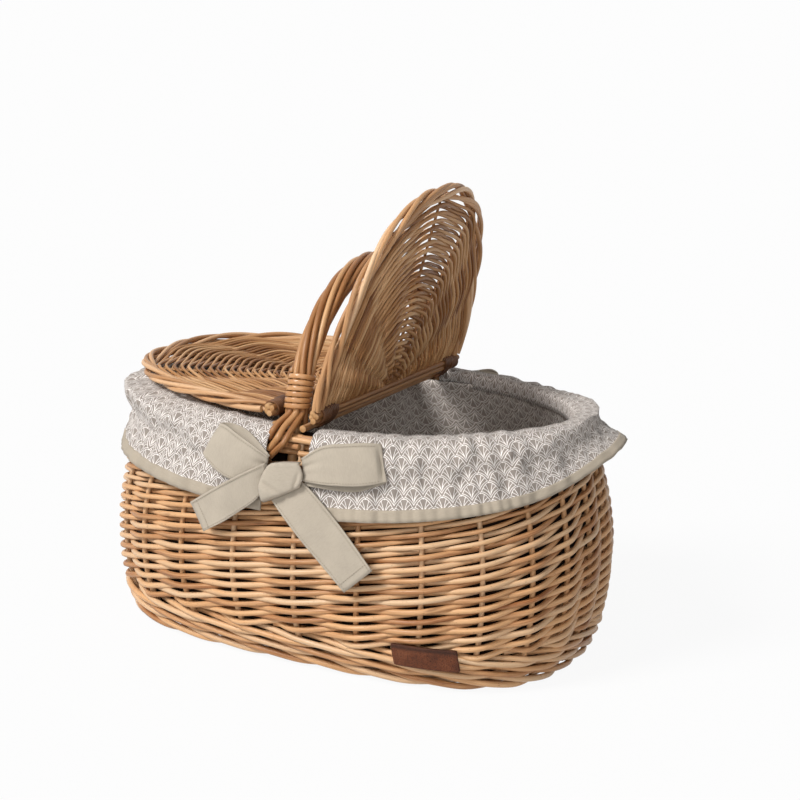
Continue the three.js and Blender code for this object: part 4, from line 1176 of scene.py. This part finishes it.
def make_ribbon(name, tag, places, facing, thread):
    """A loop or tail of a bow with its stitches. A loop's second half lies under its first."""
    upper, lower = (spline([over_cloth(*pair[k]) for pair in places], 7) for k in (0, 1))
    loop = tag.startswith("loop")
    last = len(upper) - 1
    shares = np.linspace(0, 1, 31)
    hem = 0.3 * (np.abs(shares - 0.5) > 0.41)
    pinch = 0.8 * np.cos(shares * 13 + 0.5) - 3.4 * np.exp(-((shares - 0.42) / 0.12) ** 2)
    pinch = pinch if loop else 0.4 * pinch
    rows = []
    for i in range(last + 1):
        t = i / last
        along = unit(upper[min(i + 1, last)] - upper[max(i - 1, 0)])
        out = unit(np.cross(upper[i] - lower[i], along))
        if out[1] > 0 and (not loop or t < 0.5):
            out = -out
        near = hump(t, 0, 0.12) + (hump(t, 1, 0.1) if loop else 0.0)
        crown = 1.6 if loop and t < 0.55 else 0.4
        swell = crown * np.sin(pi * shares) + near * pinch + hem
        swell = swell + 0.3 * np.sin(shares * 5 + 9 * t) * (1 - near)
        rows.append(upper[i] + (lower[i] - upper[i]) * shares[:, None] + out * swell[:, None])
    rows = np.array(rows)
    lifted = (rows + [0, -0.75, 0]) * facing
    seen_rows = int((last + 1) * 0.52) if loop else last + 1
    for k in (2, 28):
        add_stitches(thread, lifted[:seen_rows, k], 5)
    if not loop:
        add_stitches(thread, lifted[-3], 1.5)
    piece, flat = cloth(f"bow_{name}_{tag}", rows * facing, CLOTH_THICKNESS, ribbon_cotton)
    return piece


def knot_fold(u, v):
    """Height of the knot's folds: u is 0 to 1 across it, and v is -1 at its top and 1 at its foot."""
    lower = smooth(v, 0.0, 0.35)
    lobe = u - 0.62 * (v - 0.05)
    waves = 0.5 * cos(7.5 * (u - 0.35 * v) + 0.6)
    fold = (0.9 * hump(lobe, -0.16, 0.12) - 1.5 * hump(lobe, 0, 0.05)) * lower
    crease = 0.8 * hump(u, 0.62 + 0.30 * v, 0.05) * (1 - smooth(v, -0.2, 0.5))
    return waves + fold - crease - 1.6 * hump(u, 0.9 - 0.06 * v, 0.035) * smooth(v, -0.5, 0.2)


def make_knot(name, facing):
    rows = []
    left, right = (spline([[x, z, 0] for x, z in side], 7) for side in (KNOT_LEFT, KNOT_RIGHT))
    for a, b, v in zip(left, right, np.linspace(-1, 1, len(left))):
        row = []
        for u in np.linspace(0, 1, 29):
            x, z = a[0] + (b[0] - a[0]) * u, a[1] + (b[1] - a[1]) * u - 0.8 * sin(pi * u) * v ** 3
            roll = max(0.0, 1 - v ** 16) ** 0.5
            edge = 1 - 0.25 * (2 * abs(u - 0.5)) ** 14
            row.append(over_cloth(x, z, 5.0 + (6.5 - 1.5 * v + knot_fold(u, v)) * roll * edge))
        rows.append(row)
    rows = np.array(rows) * facing
    knot, flat = cloth(f"bow_{name}_knot", rows, 1.0, ribbon_cotton, f"bow_{name}")


def make_bow(turned, name):
    facing = np.array([-1, -1, 1]) if turned else np.array([1, 1, 1])
    thread = Rods()
    ribbons = [make_ribbon(name, tag, places, facing, thread) for tag, places in BOW.items()]
    thread.build(f"bow_{name}_stitches", thread_cotton)
    make_knot(name, facing)


# Patch

def make_patch():
    rows = []
    for v in np.linspace(1, -1, 15):
        row = []
        for u in np.linspace(0, 1, 31):
            corner = max(0.0, abs(2 * u - 1) - 0.95) / 0.05
            level = PATCH_LEVEL - 2.5 * u + PATCH_HALF * v - copysign(0.9 * corner ** 2, v)
            azimuth = azimuth_at(PATCH_LEFT + PATCH_LENGTH * u, level, -1)
            row.append(wall_point(azimuth, level, -1.6 - 0.5 * abs(v) ** 3 - 0.4 * sin(3 * u)))
        rows.append(row)
    cloth("patch_hide", rows, 2.0, brown_hide, "leather_patch")


# Camera, floor and light

def make_camera():
    azimuth, elevation, roll = (radians(a) for a in (VIEW_AZIMUTH, VIEW_ELEVATION, VIEW_ROLL))
    back = np.array([sin(azimuth) * cos(elevation),
                     -cos(azimuth) * cos(elevation), sin(elevation)])
    right = np.array([cos(azimuth), sin(azimuth), 0.0])
    above = np.cross(back, right)
    data = bpy.data.cameras.new("camera")
    data.lens = FOCAL_PIXELS / FRAME_PIXELS * SENSOR_WIDTH
    data.sensor_width = SENSOR_WIDTH
    data.clip_end = 100
    matrix = np.eye(4)
    matrix[:3, 0] = cos(roll) * right + sin(roll) * above
    matrix[:3, 1] = cos(roll) * above - sin(roll) * right
    matrix[:3, 2] = back
    matrix[:3, 3] = (up(VIEW_CENTRE) + right * VIEW_RIGHT + above * VIEW_UP + back * VIEW_DISTANCE) * MM
    camera = in_scene("camera", data)
    camera.matrix_world = Matrix([list(row) for row in matrix])
    bpy.context.scene.camera = camera


def seen(g):
    """1 for rays that come from the camera, or from what reflects or passes light."""
    rays = g.node("ShaderNodeLightPath")
    glossy = g.maths("MAXIMUM", rays.outputs["Is Glossy Ray"], rays.outputs["Is Transmission Ray"])
    return g.maths("MAXIMUM", rays.outputs["Is Camera Ray"], glossy)


def make_floor():
    mesh = bpy.data.meshes.new("floor")
    far = FLOOR_HALF
    mesh.from_pydata([(-far, -far, 0), (far, -far, 0), (far, far, 0), (-far, far, 0)], [], [(0, 1, 2, 3)])
    floor = in_scene("floor", mesh)
    g = Graph(bpy.data.materials.new("floor_paper"))
    g.set(Base_Color=(FLOOR_GREY, FLOOR_GREY, FLOOR_GREY, 1), Roughness=0.9, Specular_IOR_Level=0.0)
    pale = g.node("ShaderNodeEmission")
    pale.inputs["Strength"].default_value = 1.0
    mixed = g.mix_shaders(g.times(seen(g), FLOOR_WHITE_SHARE), g.shader.outputs[0], pale.outputs[0])
    g.join(mixed, g.tree.nodes["Material Output"].inputs["Surface"])
    mesh.materials.append(g.owner)


def make_world():
    world = bpy.data.worlds.new("studio")
    bpy.context.scene.world = world
    g = Graph(world)
    fill, white = g.tree.nodes["Background"], g.node("ShaderNodeBackground")
    for shade, strength in ((fill, FILL_LIGHT), (white, 1.0)):
        shade.inputs["Color"].default_value = (1, 1, 1, 1)
        shade.inputs["Strength"].default_value = strength
    mixed = g.mix_shaders(seen(g), fill.outputs[0], white.outputs[0])
    g.join(mixed, g.tree.nodes["World Output"].inputs["Surface"])


def make_sun(name, azimuth, elevation, strength, angle, tint):
    data = bpy.data.lights.new(name, "SUN")
    data.energy = strength
    data.angle = radians(angle)
    data.color = tint
    lamp = in_scene(name, data)
    lamp.rotation_euler = (radians(90 - elevation), 0, radians(azimuth))


bpy.context.scene.view_settings.view_transform = "Standard"
make_camera()
make_floor()
make_world()
make_sun("key", -28, 44, 3.2, 20, (1.0, 0.995, 0.99))
make_sun("front", 20, 12, 1.0, 50, (1.0, 1.0, 1.0))
make_stakes()
make_side_rods()
make_wale("foot_rope", 6.3, FOOT_RADIUS, 0, "stake_frame")
make_wale("wale_low", 17.0, WALE_RADIUS, 1, "bottom_wale_rod_1", "bottom_wale_rod_2", "bottom_wale_rod_3")
make_wale("wale_high", 27.3, WALE_RADIUS, 2, "bottom_wale_rod_4", "bottom_wale_rod_5",
          "bottom_wale_rod_6")
make_border()
make_border_pair()
make_base()
make_core()
make_strands()
make_bindings()
for side, name in ((-1, "left"), (1, "right")):
    make_bar(side, name)
    make_loop(side, name, -1, "front")
    make_loop(side, name, 1, "back")
make_lid(-1, "left", LID_SLOPE, -0.16)
make_lid(1, "right", OPEN_ANGLE, 0.12)
make_bag()
make_skirts()
make_bow(False, "front")
make_bow(True, "back")
make_patch()
